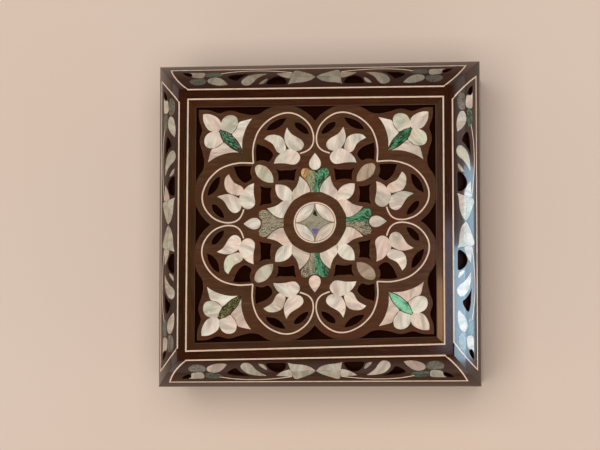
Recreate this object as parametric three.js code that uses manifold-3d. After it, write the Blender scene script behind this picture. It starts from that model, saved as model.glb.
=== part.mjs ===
// Inlaid wooden box: a square case with a hinged, pierced and inlaid lid.
// Millimetres, +Z up. The origin is the middle of the underside; the front is -Y, the hinges are at +Y.
import * as THREE from 'three';
import { mergeVertices } from 'three/addons/utils/BufferGeometryUtils.js';
import Module from 'manifold-3d';

const wasm = await Module();
wasm.setup();

// ---------------------------------------------------------------- driving dimensions
const LID_HALF = 80;          // lid, half its outer width and depth
const CASE_HALF = 77.5;       // case, half its outer width and depth
const CASE_IN = 69.5;         // case, half its inner width and depth
const CASE_H = 52;            // height of the case walls
const REBATE_HALF = 73.5;     // rebate under the walls that takes the base panel
const BASE_T = 5;             // base panel thickness
const SEAM = 0.3;             // gap between case and lid
const LID_Z = CASE_H + SEAM;  // underside of the lid
const LID_H = 18;             // lid thickness
const RIM_H = 4;              // vertical rim of the lid
const SLOPE_END = 0.73;       // where the convex slope meets the flat crest, as a part of the rail's width
const SLOPE_BULGE = 1.6;      // how far the slope swells over a straight chord
const CREST_HALF = 62;        // nominal half size at the crest's inner edge
const OPEN_HALF = 58.05;      // nominal half size of the opening that holds the pierced panel
const FRET_TOP = LID_Z + 16.6;
const FRET_T = 2.75;
const BACKING_T = 3;
const PAD_T = 2;              // velvet pads
const INLAY_T = 0.8;          // depth of every inlay
const WIRE = 0.75;            // width of an inlaid wire
const GLUE = 0.05;            // gap round every inlay, filled with glue on the real box
const PX = 0.4917;            // pattern unit in millimetres
const HINGE_X = 45;           // hinge centres at +/- this
const AXIS_Y = 78.0;          // hinge axis
const AXIS_Z = CASE_H + SEAM / 2;
const KNUCKLE_R = 1.9, PIN_R = 0.8, BORE_R = 0.85;
const LEAF_HALF = 10, LEAF_T = 0.9, LEAF_Y0 = 70.4, LEAF_Y1 = 75.8;
const SCREW_X = 6.2, SCREW_Y = 73.0, SCREW_L = 7;

// The crest is not a true square: its four inner corners, as on a frame mitred by hand.
const CREST = [[-63.2, 61.7], [63.0, 61.0], [63.1, -59.6], [-63.9, -62.6]];   // back left, back right, front right, front left
const OUTER = [[-80, 80], [80, 80], [80, -80], [-80, -80]];

// ---------------------------------------------------------------- materials
const mat = (name, color, roughness, metalness = 0) =>
  new THREE.MeshStandardMaterial({ name, color, roughness, metalness });
const WOOD = mat('dark_wood', 0x3a1f14, 0.3);
const WOOD_IN = mat('dark_floor', 0x1c0d08, 0.45);
const PEARL = mat('mother_of_pearl', 0xe6ddcf, 0.25);
const SHELL = mat('abalone', 0x6f8f78, 0.25);
const TIN = mat('tin_wire', 0xe8d2c4, 0.35, 0.7);
const BRASS = mat('brass', 0xb08a45, 0.35, 0.9);
const VELVET = mat('velvet', 0x5a1016, 0.9);

// ---------------------------------------------------------------- solids
function solid(geometry) {
  const g = geometry.index ? geometry.clone() : geometry;
  g.deleteAttribute('normal');
  g.deleteAttribute('uv');
  const m = mergeVertices(g, 1e-5);
  return new wasm.Manifold(new wasm.Mesh({
    numProp: 3,
    vertProperties: Float32Array.from(m.attributes.position.array),
    triVerts: Uint32Array.from(m.index.array),
  }));
}

function geometryOf(manifold) {
  const m = manifold.getMesh();
  const g = new THREE.BufferGeometry();
  g.setAttribute('position', new THREE.BufferAttribute(Float32Array.from(m.vertProperties), 3));
  g.setIndex(new THREE.BufferAttribute(Uint32Array.from(m.triVerts), 1));
  const flat = g.toNonIndexed();
  flat.computeVertexNormals();
  return flat;
}

const union = (list) => list.slice(1).reduce((a, b) => a.add(b), list[0]);

const group = new THREE.Group();
function node(name, manifold, material) {
  const mesh = new THREE.Mesh(geometryOf(manifold), material);
  mesh.name = name;
  group.add(mesh);
}

// ---------------------------------------------------------------- outlines
const area = (p) => p.reduce((a, q, i) => {
  const r = p[(i + 1) % p.length];
  return a + (q[0] * r[1] - r[0] * q[1]) / 2;
}, 0);
const ccw = (p) => (area(p) < 0 ? [...p].reverse() : p);

// moves every edge of a closed outline outwards by d
function grow(poly, d) {
  const p = ccw(poly);
  const n = p.length;
  return p.map((q, i) => {
    const a = p[(i + n - 1) % n], b = p[(i + 1) % n];
    const u = new THREE.Vector2(q[0] - a[0], q[1] - a[1]).normalize();
    const v = new THREE.Vector2(b[0] - q[0], b[1] - q[1]).normalize();
    const m = new THREE.Vector2(u.y + v.y, -u.x - v.x);
    const len = m.length();
    if (len < 1e-6) return q;
    m.divideScalar(len);
    const k = Math.min(2.0, 1 / Math.max(0.3, m.x * u.y - m.y * u.x));
    return [q[0] + m.x * d * k, q[1] + m.y * d * k];
  });
}

// drops the points of a closed outline that lie nearer than tol to the line that stays
function thin(poly, tol) {
  const far = (pts, i, j) => {
    let best = -1, at = -1;
    for (let k = i + 1; k < j; k++) {
      const [ax, ay] = pts[i], [bx, by] = pts[j], [px, py] = pts[k];
      const L = Math.hypot(bx - ax, by - ay) || 1e-9;
      const t = Math.max(0, Math.min(1, ((px - ax) * (bx - ax) + (py - ay) * (by - ay)) / (L * L)));
      const h = Math.hypot(px - ax - t * (bx - ax), py - ay - t * (by - ay));
      if (h > best) { best = h; at = k; }
    }
    return [best, at];
  };
  const pts = [...poly, poly[0]];
  const keep = new Set([0, pts.length - 1]);
  const walk = (i, j) => {
    if (j - i < 2) return;
    const [h, k] = far(pts, i, j);
    if (h > tol) { keep.add(k); walk(i, k); walk(k, j); }
  };
  let mid = 0, best = -1;
  pts.forEach((q, i) => {
    const h = Math.hypot(q[0] - pts[0][0], q[1] - pts[0][1]);
    if (h > best) { best = h; mid = i; }
  });
  keep.add(mid);
  walk(0, mid);
  walk(mid, pts.length - 1);
  return pts.filter((q, i) => keep.has(i) && i < pts.length - 1);
}

function shapeOf(poly, holes = []) {
  const s = new THREE.Shape(ccw(poly).map(([x, y]) => new THREE.Vector2(x, y)));
  for (const h of holes) s.holes.push(new THREE.Path([...ccw(h)].reverse().map(([x, y]) => new THREE.Vector2(x, y))));
  return s;
}
function prism(poly, z0, z1, holes = []) {
  const g = new THREE.ExtrudeGeometry(shapeOf(poly, holes), { depth: z1 - z0, bevelEnabled: false, curveSegments: 1, steps: 1 });
  g.translate(0, 0, z0);
  return solid(g);
}

// an open line thickened into a closed outline of width w
function ribbon(line, w) {
  const left = [], right = [];
  line.forEach((q, i) => {
    const a = line[Math.max(0, i - 1)], b = line[Math.min(line.length - 1, i + 1)];
    const t = new THREE.Vector2(b[0] - a[0], b[1] - a[1]).normalize();
    left.push([q[0] - t.y * w / 2, q[1] + t.x * w / 2]);
    right.push([q[0] + t.y * w / 2, q[1] - t.x * w / 2]);
  });
  return [...left, ...right.reverse()];
}

// ---------------------------------------------------------------- the lid's top pattern
// The pattern repeats eight times about the centre. The outlines below lie in the back left eighth or on its edges,
// in pattern units, x to the right and y to the back.
const P_PETAL = [[-13.4, 48.7], [-9.2, 44.6], [-5.6, 40], [-3.2, 35], [-3, 30.7], [-8, 29.7], [-13.5, 27.3], [-18, 24.6], [-22.4, 21.4], [-22.3, 27], [-20.4, 33], [-17, 38], [-14.8, 43]];
const P_LEAF = [[-39, 39], [-33.3, 39], [-27.2, 36.8], [-22.8, 32], [-21.9, 27], [-22, 22], [-27, 21.9], [-32, 22.8], [-36.8, 27.2], [-39, 33.3]];
const P_TULIP = [[-3.6, 30.6], [-3.6, 35], [-5.8, 40.2], [-9.4, 44.8], [-12.9, 49.2], [-13.9, 52.4], [-11.3, 55], [-7.4, 55.4], [-5.6, 53.2], [-3, 51], [0, 50], [3, 51], [5.6, 53.2], [7.4, 55.4], [11.3, 55], [13.9, 52.4], [12.9, 49.2], [9.4, 44.8], [5.8, 40.2], [3.6, 35], [3.6, 30.6]];
const P_BUD = [[0, 70.6], [-2.8, 67], [-5.2, 62.5], [-5.9, 58.5], [-4.6, 55], [-2.3, 51.5], [0, 49], [2.3, 51.5], [4.6, 55], [5.9, 58.5], [5.2, 62.5], [2.8, 67]];
const P_DROP = [[-40.8, 40.8], [-41.2, 46.5], [-43.8, 52.5], [-48.2, 57.2], [-53.4, 59.2], [-56.8, 59.2], [-59.2, 56.8], [-59.2, 53.4], [-57.2, 48.2], [-52.5, 43.8], [-46.5, 41.2]];
const P_TRI = [
  [[-27.7, 97], [-23.4, 90.5], [-13.6, 84], [-10.9, 78.6], [-14.7, 73.2], [-23.4, 73.2], [-28.8, 79.7], [-30.4, 86.2], [-29.3, 92.7]],
  [[-50.5, 85.1], [-46.1, 88.9], [-38.5, 89.4], [-32, 86.2], [-29.3, 79.7], [-28.8, 74.2], [-33.2, 70.4], [-37.4, 72.1], [-41.8, 79.7], [-47.2, 83.5]],
  [[-41, 59.9], [-38, 66.5], [-31.8, 72.2], [-25.2, 75], [-17.8, 72], [-14.6, 67.3], [-15.6, 62.5], [-20, 59], [-30, 60.2], [-36.4, 60.4]],
];
const P_CORNER = [
  [[-111.3, 111.3], [-105.3, 111.3], [-98.8, 108.8], [-94.4, 104.8], [-93.4, 99.8], [-94.6, 94.6], [-99.8, 93.4], [-104.8, 94.4], [-108.8, 98.8], [-111.3, 105.3]],
  [[-93.6, 102.4], [-89.8, 108], [-83.8, 110], [-78, 107.8], [-76.4, 101.8], [-78, 96.8], [-81.6, 93.6], [-87.3, 91.2], [-92.4, 94], [-94, 98.2]],
  [[-62, 106.2], [-67.8, 98.8], [-71.2, 89.6], [-72, 76.6], [-78.2, 84.2], [-82.6, 91.3], [-79.2, 96], [-74.4, 102.1], [-68, 105.1]],
  [[-94.8, 94.8], [-88.6, 92.4], [-82.8, 87.4], [-77.4, 81.4], [-73, 73], [-81.4, 77.4], [-87.4, 82.8], [-92.4, 88.6]],
];
const P_SCROLL = [[-60.9, 60.9], [-61.4, 68], [-61.4, 75], [-59.6, 84.5], [-55.6, 94], [-48.3, 102.5], [-40, 108.1], [-30, 111.4], [-20.5, 110.6], [-11.8, 105.8], [-5.5, 99], [-2.1, 91], [-1.4, 84], [-2.8, 78], [-6.8, 73.4], [-14.6, 70.2], [-19, 69.6]];
const P_HOLES = [
  [[-48, 94.2], [-46.4, 97.9], [-41.4, 102.3], [-34.6, 105.4], [-28.8, 106.3], [-31.8, 101], [-35.8, 97.2], [-41.5, 94.8]],
  [[-20, 101.8], [-15.2, 101.2], [-10.8, 98], [-7.4, 93.8], [-6.4, 89.8], [-11, 90.8], [-16, 94.2], [-19.6, 98]],
  [[-56, 79], [-50.5, 78.5], [-45, 75], [-41.8, 69.5], [-44, 63.8], [-49.5, 64.2], [-55.2, 66.5], [-57.2, 72.5]],
  [[-36, 50.5], [-35.4, 44], [-29, 43.2], [-21.8, 42], [-18.6, 49], [-18.4, 52.8], [-26, 54], [-33, 53.9]],
];
const P_EDGE = [[0, 103.4], [-5, 109.1], [-12, 114.3], [-20.7, 118], [-41.9, 118], [-49, 115.2], [-55, 111.3], [-63, 110], [-69, 111], [-76, 114.2], [-83, 116], [-90, 115.2], [-96, 115.6], [-101, 118]];
const RING_R = 20.9;          // outside of the wire round the centre star

// eight symmetries of the square; even ones turn, odd ones mirror across the back left diagonal first
const eighth = (k) => ([x, y]) => {
  let p = k % 2 ? [-y, -x] : [x, y];
  for (let i = 0; i < (k >> 1); i++) p = [p[1], -p[0]];
  return p;
};
const turn = (k) => eighth(2 * k);

// carries the nominal square onto the real, slightly uneven one
const E_MAX = OPEN_HALF - 0.15;
function warp([x, y]) {
  const u = x / CREST_HALF, v = y / CREST_HALF;
  const [bl, br, fr, fl] = CREST;
  const w = [(1 - u) * (1 + v), (1 + u) * (1 + v), (1 + u) * (1 - v), (1 - u) * (1 - v)].map((q) => q / 4);
  return [0, 1].map((i) => w[0] * bl[i] + w[1] * br[i] + w[2] * fr[i] + w[3] * fl[i]);
}
const place = (poly, f) => poly.map((q) => warp(f(q).map((c) => c * PX)));

const DETAIL = 0.55;          // finest step kept in an outline
const petals = (polys, f) => polys.map((p) => thin(place(p, f), DETAIL));

const Z1 = FRET_TOP, Z0 = FRET_TOP - INLAY_T;
const fretInlays = [];        // [name, outlines, material]
{
  const rosette = [];
  for (let k = 0; k < 8; k++) rosette.push(...petals([P_PETAL], eighth(k)));
  for (let k = 0; k < 4; k++) rosette.push(...petals([P_LEAF, P_TULIP, P_BUD], turn(k)));
  fretInlays.push(['rosette_inlay', rosette, PEARL]);
  const ring = [];
  for (let i = 0; i < 20; i++) ring.push([RING_R * Math.cos(i * Math.PI / 10), RING_R * Math.sin(i * Math.PI / 10)]);
  fretInlays.push(['centre_star_inlay', [place(ring, turn(0))], PEARL]);
  const corners = ['back_left', 'back_right', 'front_right', 'front_left'];
  corners.forEach((c, k) => {
    fretInlays.push([`corner_flower_${c}`, petals(P_CORNER.concat([P_CORNER[1], P_CORNER[2]].map((p) => p.map(eighth(1)))), turn(k)), PEARL]);
    fretInlays.push([`drop_leaf_${c}`, petals([P_DROP], turn(k)), PEARL]);
    const wires = [], flowers = [];
    for (const e of [2 * k, 2 * k + 1]) {
      wires.push(ribbon(place(thinLine(P_SCROLL, 1.8), eighth(e)), WIRE));
      flowers.push(...petals(P_TRI, eighth(e)));
    }
    fretInlays.push([`scroll_wires_${c}`, [...wires, ...flowers], TIN]);
  });
}
function thinLine(line, tol) {
  const out = [line[0]];
  let i = 0;
  while (i < line.length - 1) {
    let j = i + 1;
    for (let k = i + 2; k < line.length; k++) {
      let bad = false;
      for (let m = i + 1; m < k; m++) {
        const [ax, ay] = line[i], [bx, by] = line[k], [px, py] = line[m];
        const L = Math.hypot(bx - ax, by - ay);
        if (Math.abs((bx - ax) * (py - ay) - (by - ay) * (px - ax)) / L > tol) bad = true;
      }
      if (bad) break;
      j = k;
    }
    out.push(line[j]);
    i = j;
  }
  return out;
}

// the pierced panel with a pocket for every inlay
{
  const edge = [];
  for (let k = 0; k < 4; k++) {
    const half = thinLine(P_EDGE, 1.6);
    edge.push(...half.map(eighth(2 * k)), turn(k)([-118, 118]), ...[...half].reverse().slice(0, -1).map(eighth(2 * k + 1)));
  }
  // runs from the middle of the back edge round to the left, front and right
  const clampEdge = edge.map((q) => q.map((c) => Math.max(-E_MAX, Math.min(E_MAX, c * PX))));
  const order = [];
  for (let k = 0; k < 4; k++) {
    const n = clampEdge.length / 4;
    const part = clampEdge.slice(((4 - k) % 4) * n, (((4 - k) % 4) + 1) * n);
    order.push(...part);
  }
  const outline = order.map(warp);
  const holes = [];
  for (let k = 0; k < 8; k++) for (const h of P_HOLES) holes.push(thin(place(h, eighth(k)), 0.75));
  let panel = prism(outline, FRET_TOP - FRET_T, FRET_TOP, holes);
  for (const [name, polys, material] of fretInlays) {
    const body = union(polys.map((p) => prism(p, Z0, Z1)));
    panel = panel.subtract(union(polys.map((p) => prism(grow(p, GLUE), Z0, Z1 + 0.5))));
    node(name, body, material);
  }
  node('lid_pierced_panel', panel, WOOD);
}

// ---------------------------------------------------------------- rails of the lid
const between = (a, b, t) => [a[0] + (b[0] - a[0]) * t, a[1] + (b[1] - a[1]) * t];
const OPEN_F = 1 + (CREST_HALF - OPEN_HALF) / (LID_HALF - CREST_HALF);
const OPENING = [[-1, 1], [1, 1], [1, -1], [-1, -1]].map((q) => warp(q.map((c) => c * OPEN_HALF)));
// the mitre of corner i, in plan: f is 0 at the outer corner, 1 at the crest's inner corner and OPEN_F at the opening
const railCorner = (i, f) => (f <= 1 ? between(OUTER[i], CREST[i], f) : between(CREST[i], OPENING[i], (f - 1) / (OPEN_F - 1)));
const SLOPE_STEPS = 3;
function slopeZ(f, drop = 0) {             // height of the slope over the lid's underside at f
  const t = f / SLOPE_END;
  return RIM_H + (LID_H - RIM_H) * t + SLOPE_BULGE * 4 * t * (1 - t) * 1.35 - drop;
}
const slopeF = Array.from({ length: SLOPE_STEPS + 1 }, (_, i) => SLOPE_END * (i / SLOPE_STEPS));

// sweeps a closed profile (f, z) along rail i, from its first mitre to its second
function rail(i, profile) {
  const g = new THREE.ExtrudeGeometry(shapeOf(profile), { depth: 1, bevelEnabled: false, steps: 1, curveSegments: 1 });
  const a = (i + 1) % 4, b = i;
  const p = g.attributes.position;
  for (let k = 0; k < p.count; k++) {
    const f = p.getX(k), z = p.getY(k), t = p.getZ(k);
    const q = between(railCorner(a, f), railCorner(b, f), t);
    p.setXYZ(k, q[0], q[1], LID_Z + z);
  }
  let m = solid(g);
  if (m.volume() < 0) {
    for (let k = 0; k < p.count; k += 3) {
      const v = [p.getX(k), p.getY(k), p.getZ(k)];
      p.setXYZ(k, p.getX(k + 1), p.getY(k + 1), p.getZ(k + 1));
      p.setXYZ(k + 1, ...v);
    }
    m = solid(g);
  }
  return m;
}
const SIDES = ['back', 'right', 'front', 'left'];   // rail i runs from corner i to corner i + 1
const RAIL_PROFILE = [[0, 0], [0, RIM_H], ...slopeF.slice(1).map((f) => [f, slopeZ(f)]), [1.03, LID_H],
  [OPEN_F, FRET_TOP - LID_Z], [OPEN_F, FRET_TOP - FRET_T - LID_Z], [1, FRET_TOP - FRET_T - LID_Z], [1, 0]];
const SKIN = [...slopeF.map((f) => [f, slopeZ(f)]), [0.8, LID_H], [0.8, LID_H - INLAY_T], ...[...slopeF].reverse().map((f) => [f, slopeZ(f, INLAY_T)])];
const SKIN_CUT = [...slopeF.map((f) => [f, slopeZ(f, -1.5)]), [0.8, LID_H + 1.5], [0.8, LID_H - INLAY_T - GLUE], ...[...slopeF].reverse().map((f) => [f, slopeZ(f, INLAY_T + GLUE)])];

// The field between the wires of a border is one shallow recess. Wires and garland stand in it, and paste fills the ground.
// border motif, half of it: s along the rail from its middle in pattern units, v from the outer wire (0) to the inner (1)
const B_HALF = [
  [[-128, 0.24], [-122, 0.17], [-112, 0.17], [-106, 0.3], [-105, 0.46], [-119, 0.48], [-123, 0.33]],
  [[-110, 0.42], [-104, 0.28], [-97, 0.3], [-95, 0.44], [-99, 0.6], [-107, 0.6]],
  [[-107, 0.52], [-98, 0.44], [-94, 0.58], [-86, 0.8], [-93, 0.86], [-102, 0.84], [-107, 0.7]],
  [[-48, 0.22], [-55, 0.26], [-62, 0.34], [-69, 0.5], [-70.5, 0.66], [-67, 0.8], [-62, 0.84], [-58, 0.74], [-56, 0.54], [-53, 0.36]],
  [[-36, 0.3], [-27, 0.24], [-19, 0.12], [-8, 0.14], [0.2, 0.34], [0.2, 0.6], [-8, 0.76], [-17, 0.86], [-22.5, 0.9], [-24, 0.72], [-21.5, 0.56], [-29, 0.48]],
];
const B_STEM = [[-100, 0.4], [-92, 0.22], [-76, 0.12], [-62, 0.16], [-53, 0.3], [-44, 0.28], [-34, 0.34], [-26, 0.36]];
const FIELD = [                               // outer and inner wire and the gap left at each mitre, for each side
  { f0: 0.14, f1: 0.735, c: 4.2 }, { f0: 0.095, f1: 0.735, c: 6.2 }, { f0: 0.135, f1: 0.735, c: 4.2 }, { f0: 0.09, f1: 0.735, c: 6.2 },
];
function railPoint(i, s, v) {                 // millimetres along, part across -> plan position
  const { f0, f1 } = FIELD[i];
  const f = f0 + 0.02 + (f1 - f0 - 0.03) * v;
  const a = railCorner(i, f), b = railCorner((i + 1) % 4, f);
  const m = between(a, b, 0.5), L = Math.hypot(b[0] - a[0], b[1] - a[1]);
  return [m[0] + (b[0] - a[0]) * s / L, m[1] + (b[1] - a[1]) * s / L];
}

const crestBand = (h) => [0, 1, 2, 3].map((i) => railCorner(i, 1 + (CREST_HALF - h) / (LID_HALF - CREST_HALF)));
const crestWire = [crestBand(CREST_HALF + 0.45), crestBand(CREST_HALF - 0.35)];

const cyl = (r, h, seg) => new THREE.CylinderGeometry(r, r, h, seg);
const boxAt = (x0, x1, y0, y1, z0, z1) => solid(new THREE.BoxGeometry(x1 - x0, y1 - y0, z1 - z0).translate((x0 + x1) / 2, (y0 + y1) / 2, (z0 + z1) / 2));
const rodX = (x0, x1, r, seg) => solid(cyl(r, x1 - x0, seg).rotateZ(Math.PI / 2).translate((x0 + x1) / 2, AXIS_Y, AXIS_Z));

// a countersunk screw, head at z = 0, point towards -z
function screw(extra = 0) {
  const e = extra;
  const pts = [[0, e * 3], [1.3 + e, e * 3], [1.3 + e, -0.12], [0.62 + e, -0.8], [0.62 + e, -SCREW_L + 1.2 - e], [0, -SCREW_L - e]];
  return new THREE.LatheGeometry(pts.map(([x, y]) => new THREE.Vector2(x, y)), 8).rotateX(Math.PI / 2);
}
function upright(geometry) {                  // a lathe may come out inside out
  let m = solid(geometry);
  if (m.volume() < 0) {
    const idx = geometry.index;
    for (let k = 0; k < idx.count; k += 3) { const a = idx.getX(k); idx.setX(k, idx.getX(k + 1)); idx.setX(k + 1, a); }
    m = solid(geometry);
  }
  return m;
}
const slot = (z0, z1) => boxAt(-1.05, 1.05, -0.14, 0.14, z0, z1);
function screwAt(x, up, extra = 0) {
  let m = upright(screw(extra));
  if (!extra) m = m.subtract(slot(-0.3, 0.1));
  if (up) m = m.rotate([180, 0, 0]);
  return m.translate([x, SCREW_Y, up ? LID_Z : CASE_H]);
}

const hinges = [['left', -HINGE_X], ['right', HINGE_X]];
SIDES.forEach((side, i) => {
  let wood = rail(i, RAIL_PROFILE);
  const { f0, f1, c } = FIELD[i];
  const quad = () => {                        // plan outline of the field's wire
    const A = railCorner(i, f0), B = railCorner((i + 1) % 4, f0), C = railCorner((i + 1) % 4, f1), D = railCorner(i, f1);
    const L = Math.hypot(B[0] - A[0], B[1] - A[1]), e = [(B[0] - A[0]) / L, (B[1] - A[1]) / L];
    const n = [-(e[1]), e[0]];
    const s = Math.sign(n[0] * (C[0] - B[0]) + n[1] * (C[1] - B[1]));
    const at = (q, along, inward) => [q[0] + e[0] * along + n[0] * s * inward, q[1] + e[1] * along + n[1] * s * inward];
    return [at(A, c, 0), at(B, -c, 0), at(C, -c, 0), at(D, c, 0)];
  };
  const wirePoly = quad(), wireHole = grow(wirePoly, -WIRE * 0.95);
  const skin = rail(i, SKIN), cut = rail(i, SKIN_CUT);
  const z0 = LID_Z, z1 = LID_Z + LID_H + 2;
  const wire = prism(wirePoly, z0, z1, [wireHole]).intersect(skin);
  wood = wood.subtract(prism(grow(wirePoly, GLUE), z0, z1).intersect(cut));
  node(`border_wire_${side}`, wire, TIN);
  const polys = [];
  for (const m of [1, -1]) {
    for (const p of B_HALF) polys.push(thin(p.map(([s, v]) => railPoint(i, m * s * PX, v)), 0.6));
    polys.push(ribbon(thinLine(B_STEM.map(([s, v]) => railPoint(i, m * s * PX, v)), 0.5), WIRE));
  }
  const garland = union(polys.map((p) => prism(p, z0, z1))).intersect(skin);
  node(`border_garland_${side}`, garland, PEARL);
  wood = wood.subtract(prism(grow(crestWire[0], GLUE), LID_Z + LID_H - INLAY_T, LID_Z + LID_H + 1, [grow(crestWire[1], -GLUE)]));
  if (side === 'front') {                     // finger notch under the front rim
    const arc = [];
    for (let k = 0; k <= 8; k++) arc.push([-10 + 2.5 * k, 1.5 * Math.sqrt(Math.max(0, 1 - ((k - 4) / 4) ** 2))]);
    const g = new THREE.ExtrudeGeometry(shapeOf([[-10, -0.5], [10, -0.5], ...arc.reverse().slice(0, -1)]), { depth: 3.2, bevelEnabled: false });
    g.rotateX(Math.PI / 2).translate(0, -LID_HALF + 2.4, LID_Z);
    wood = wood.subtract(solid(g));
  }
  if (side === 'back') {
    for (const [, x] of hinges) {
      wood = wood.subtract(boxAt(x - LEAF_HALF - 0.2, x + LEAF_HALF + 0.2, LEAF_Y1 + 0.1, 81, LID_Z - 1, 54.3));
      wood = wood.subtract(boxAt(x - LEAF_HALF - 0.05, x + LEAF_HALF + 0.05, LEAF_Y0 - 0.05, LEAF_Y1 + 0.2, LID_Z - 1, LID_Z + LEAF_T));
      for (const d of [-SCREW_X, SCREW_X]) wood = wood.subtract(screwAt(x + d, true, 0.03));
    }
  }
  node(`lid_rail_${side}`, wood, WOOD);
});
node('crest_wire', prism(crestWire[0], LID_Z + LID_H - INLAY_T, LID_Z + LID_H, [crestWire[1]]), TIN);

// ---------------------------------------------------------------- backing and pad of the lid
const plate = (h, z0, z1, chamfer = 0) => {
  const c = [0, 1, 2, 3].map((i) => railCorner(i, 1 + (CREST_HALF - h) / (LID_HALF - CREST_HALF)));
  return prism(c, z0, z1);
};
const BACK_Z1 = FRET_TOP - FRET_T, BACK_Z0 = BACK_Z1 - BACKING_T;
node('lid_backing_panel', plate(CREST_HALF - 0.1, BACK_Z0, BACK_Z1), WOOD_IN);
node('lid_velvet_pad', plate(CREST_HALF - 0.4, BACK_Z0 - PAD_T, BACK_Z0), VELVET);

// ---------------------------------------------------------------- case
function caseWall(i) {
  const profile = [[CASE_HALF, 0], [CASE_HALF, CASE_H], [CASE_IN, CASE_H], [CASE_IN, BASE_T], [REBATE_HALF, BASE_T], [REBATE_HALF, 0]];
  const g = new THREE.ExtrudeGeometry(shapeOf(profile), { depth: 1, bevelEnabled: false, steps: 1 });
  const p = g.attributes.position;
  const [a, b] = [[-1, 1], [1, 1], [1, -1], [-1, -1]].map((q, k, all) => [q, all[(k + 1) % 4]])[i];
  for (let k = 0; k < p.count; k++) {
    const h = p.getX(k), z = p.getY(k), t = p.getZ(k);
    const q = between([b[0] * h, b[1] * h], [a[0] * h, a[1] * h], t);
    p.setXYZ(k, q[0], q[1], z);
  }
  let m = solid(g);
  if (m.volume() < 0) {
    for (let k = 0; k < p.count; k += 3) {
      const v = [p.getX(k), p.getY(k), p.getZ(k)];
      p.setXYZ(k, p.getX(k + 1), p.getY(k + 1), p.getZ(k + 1));
      p.setXYZ(k + 1, ...v);
    }
    m = solid(g);
  }
  return m;
}
// a side's inlay lies in the plane of its wall: s along it, h above its middle; a wire frame with a garland on its stem
const SIDE_W = 67, SIDE_H = 19.5, SIDE_Z = 26.5;
const S_HALF = [
  [[0.2, -3.6], [0.2, 3.6], [-9, 8.2], [-19, 13], [-24, 14], [-23.5, 7.5], [-26, 4], [-38, 0], [-26, -4], [-23.5, -7.5], [-24, -14], [-19, -13], [-9, -8.2]],
  [[-46, 1.5], [-50, 7], [-57, 10.5], [-64, 8], [-66, 2], [-63, -3.5], [-57, -5], [-52, -2.5]],
  [[-72, -1], [-77, -7.5], [-85, -11], [-92, -9], [-95, -3.5], [-91, 1], [-83, 3], [-76, 2]],
  [[-96, -0.6], [-103, 9], [-112, 14], [-121, 15], [-117, 7], [-109, 1.5]],
  [[-96, 0.6], [-103, -9], [-112, -14], [-121, -15], [-117, -7], [-109, -1.5]],
];
const S_STEM = [[-36, 0], [-48, 4], [-60, 1], [-74, -3], [-88, 0.5], [-99, 1], [-110, 0], [-135.6, 0]];
SIDES.forEach((side, i) => {
  let wood = caseWall(i);
  const out = [[0, 1], [1, 0], [0, -1], [-1, 0]][i];
  // a flat prism in (s, h), turned upright onto the wall's outer face
  const stand = (poly, deep, over, holes = []) => {
    const m = prism(poly, -deep, over, holes);
    return m.rotate([90, 0, 0]).rotate([0, 0, { back: 180, right: 90, front: 0, left: -90 }[side]])
      .translate([out[0] * CASE_HALF, out[1] * CASE_HALF, SIDE_Z]);
  };
  const rect = (w, h) => [[-w, -h], [w, -h], [w, h], [-w, h]];
  const frame = rect(SIDE_W, SIDE_H), inner = rect(SIDE_W - WIRE, SIDE_H - WIRE);
  const polys = [];
  for (const m of [1, -1]) {
    for (const p of S_HALF) polys.push(thin(p.map(([s, h]) => [m * s * PX, h * PX]), 0.8));
    polys.push(ribbon(S_STEM.map(([s, h]) => [m * s * PX, h * PX]), WIRE));
  }
  const body = union([stand(frame, INLAY_T, 0, [inner]), ...polys.map((p) => stand(p, INLAY_T, 0))]);
  wood = wood.subtract(stand(grow(frame, GLUE), INLAY_T + GLUE, 0.5));
  if (side === 'back') {
    for (const [, x] of hinges) {
      wood = wood.subtract(boxAt(x - LEAF_HALF - 0.2, x + LEAF_HALF + 0.2, LEAF_Y1 + 0.1, 79, 50, CASE_H + 1));
      wood = wood.subtract(boxAt(x - LEAF_HALF - 0.05, x + LEAF_HALF + 0.05, LEAF_Y0 - 0.05, LEAF_Y1 + 0.2, CASE_H - LEAF_T, CASE_H + 1));
      for (const d of [-SCREW_X, SCREW_X]) wood = wood.subtract(screwAt(x + d, false, 0.03));
    }
  }
  node(`case_wall_${side}`, wood, WOOD);
  node(`side_inlay_${side}`, body, PEARL);
});
node('base_panel', boxAt(-REBATE_HALF + 0.05, REBATE_HALF - 0.05, -REBATE_HALF + 0.05, REBATE_HALF - 0.05, 0, BASE_T), WOOD_IN);

// ---------------------------------------------------------------- velvet lining of the case
const L_IN = CASE_IN, L_T = 1.6, L_TOP = 49.5, L_FLOOR = BASE_T + PAD_T;
node('velvet_floor_pad', boxAt(-L_IN + 0.1, L_IN - 0.1, -L_IN + 0.1, L_IN - 0.1, BASE_T, L_FLOOR), VELVET);
node('velvet_lining_back', boxAt(-L_IN + 0.1, L_IN - 0.1, L_IN - L_T, L_IN, L_FLOOR + 0.1, L_TOP), VELVET);
node('velvet_lining_front', boxAt(-L_IN + 0.1, L_IN - 0.1, -L_IN, -L_IN + L_T, L_FLOOR + 0.1, L_TOP), VELVET);
node('velvet_lining_left', boxAt(-L_IN, -L_IN + L_T, -L_IN + L_T + 0.1, L_IN - L_T - 0.1, L_FLOOR + 0.1, L_TOP), VELVET);
node('velvet_lining_right', boxAt(L_IN - L_T, L_IN, -L_IN + L_T + 0.1, L_IN - L_T - 0.1, L_FLOOR + 0.1, L_TOP), VELVET);

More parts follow.
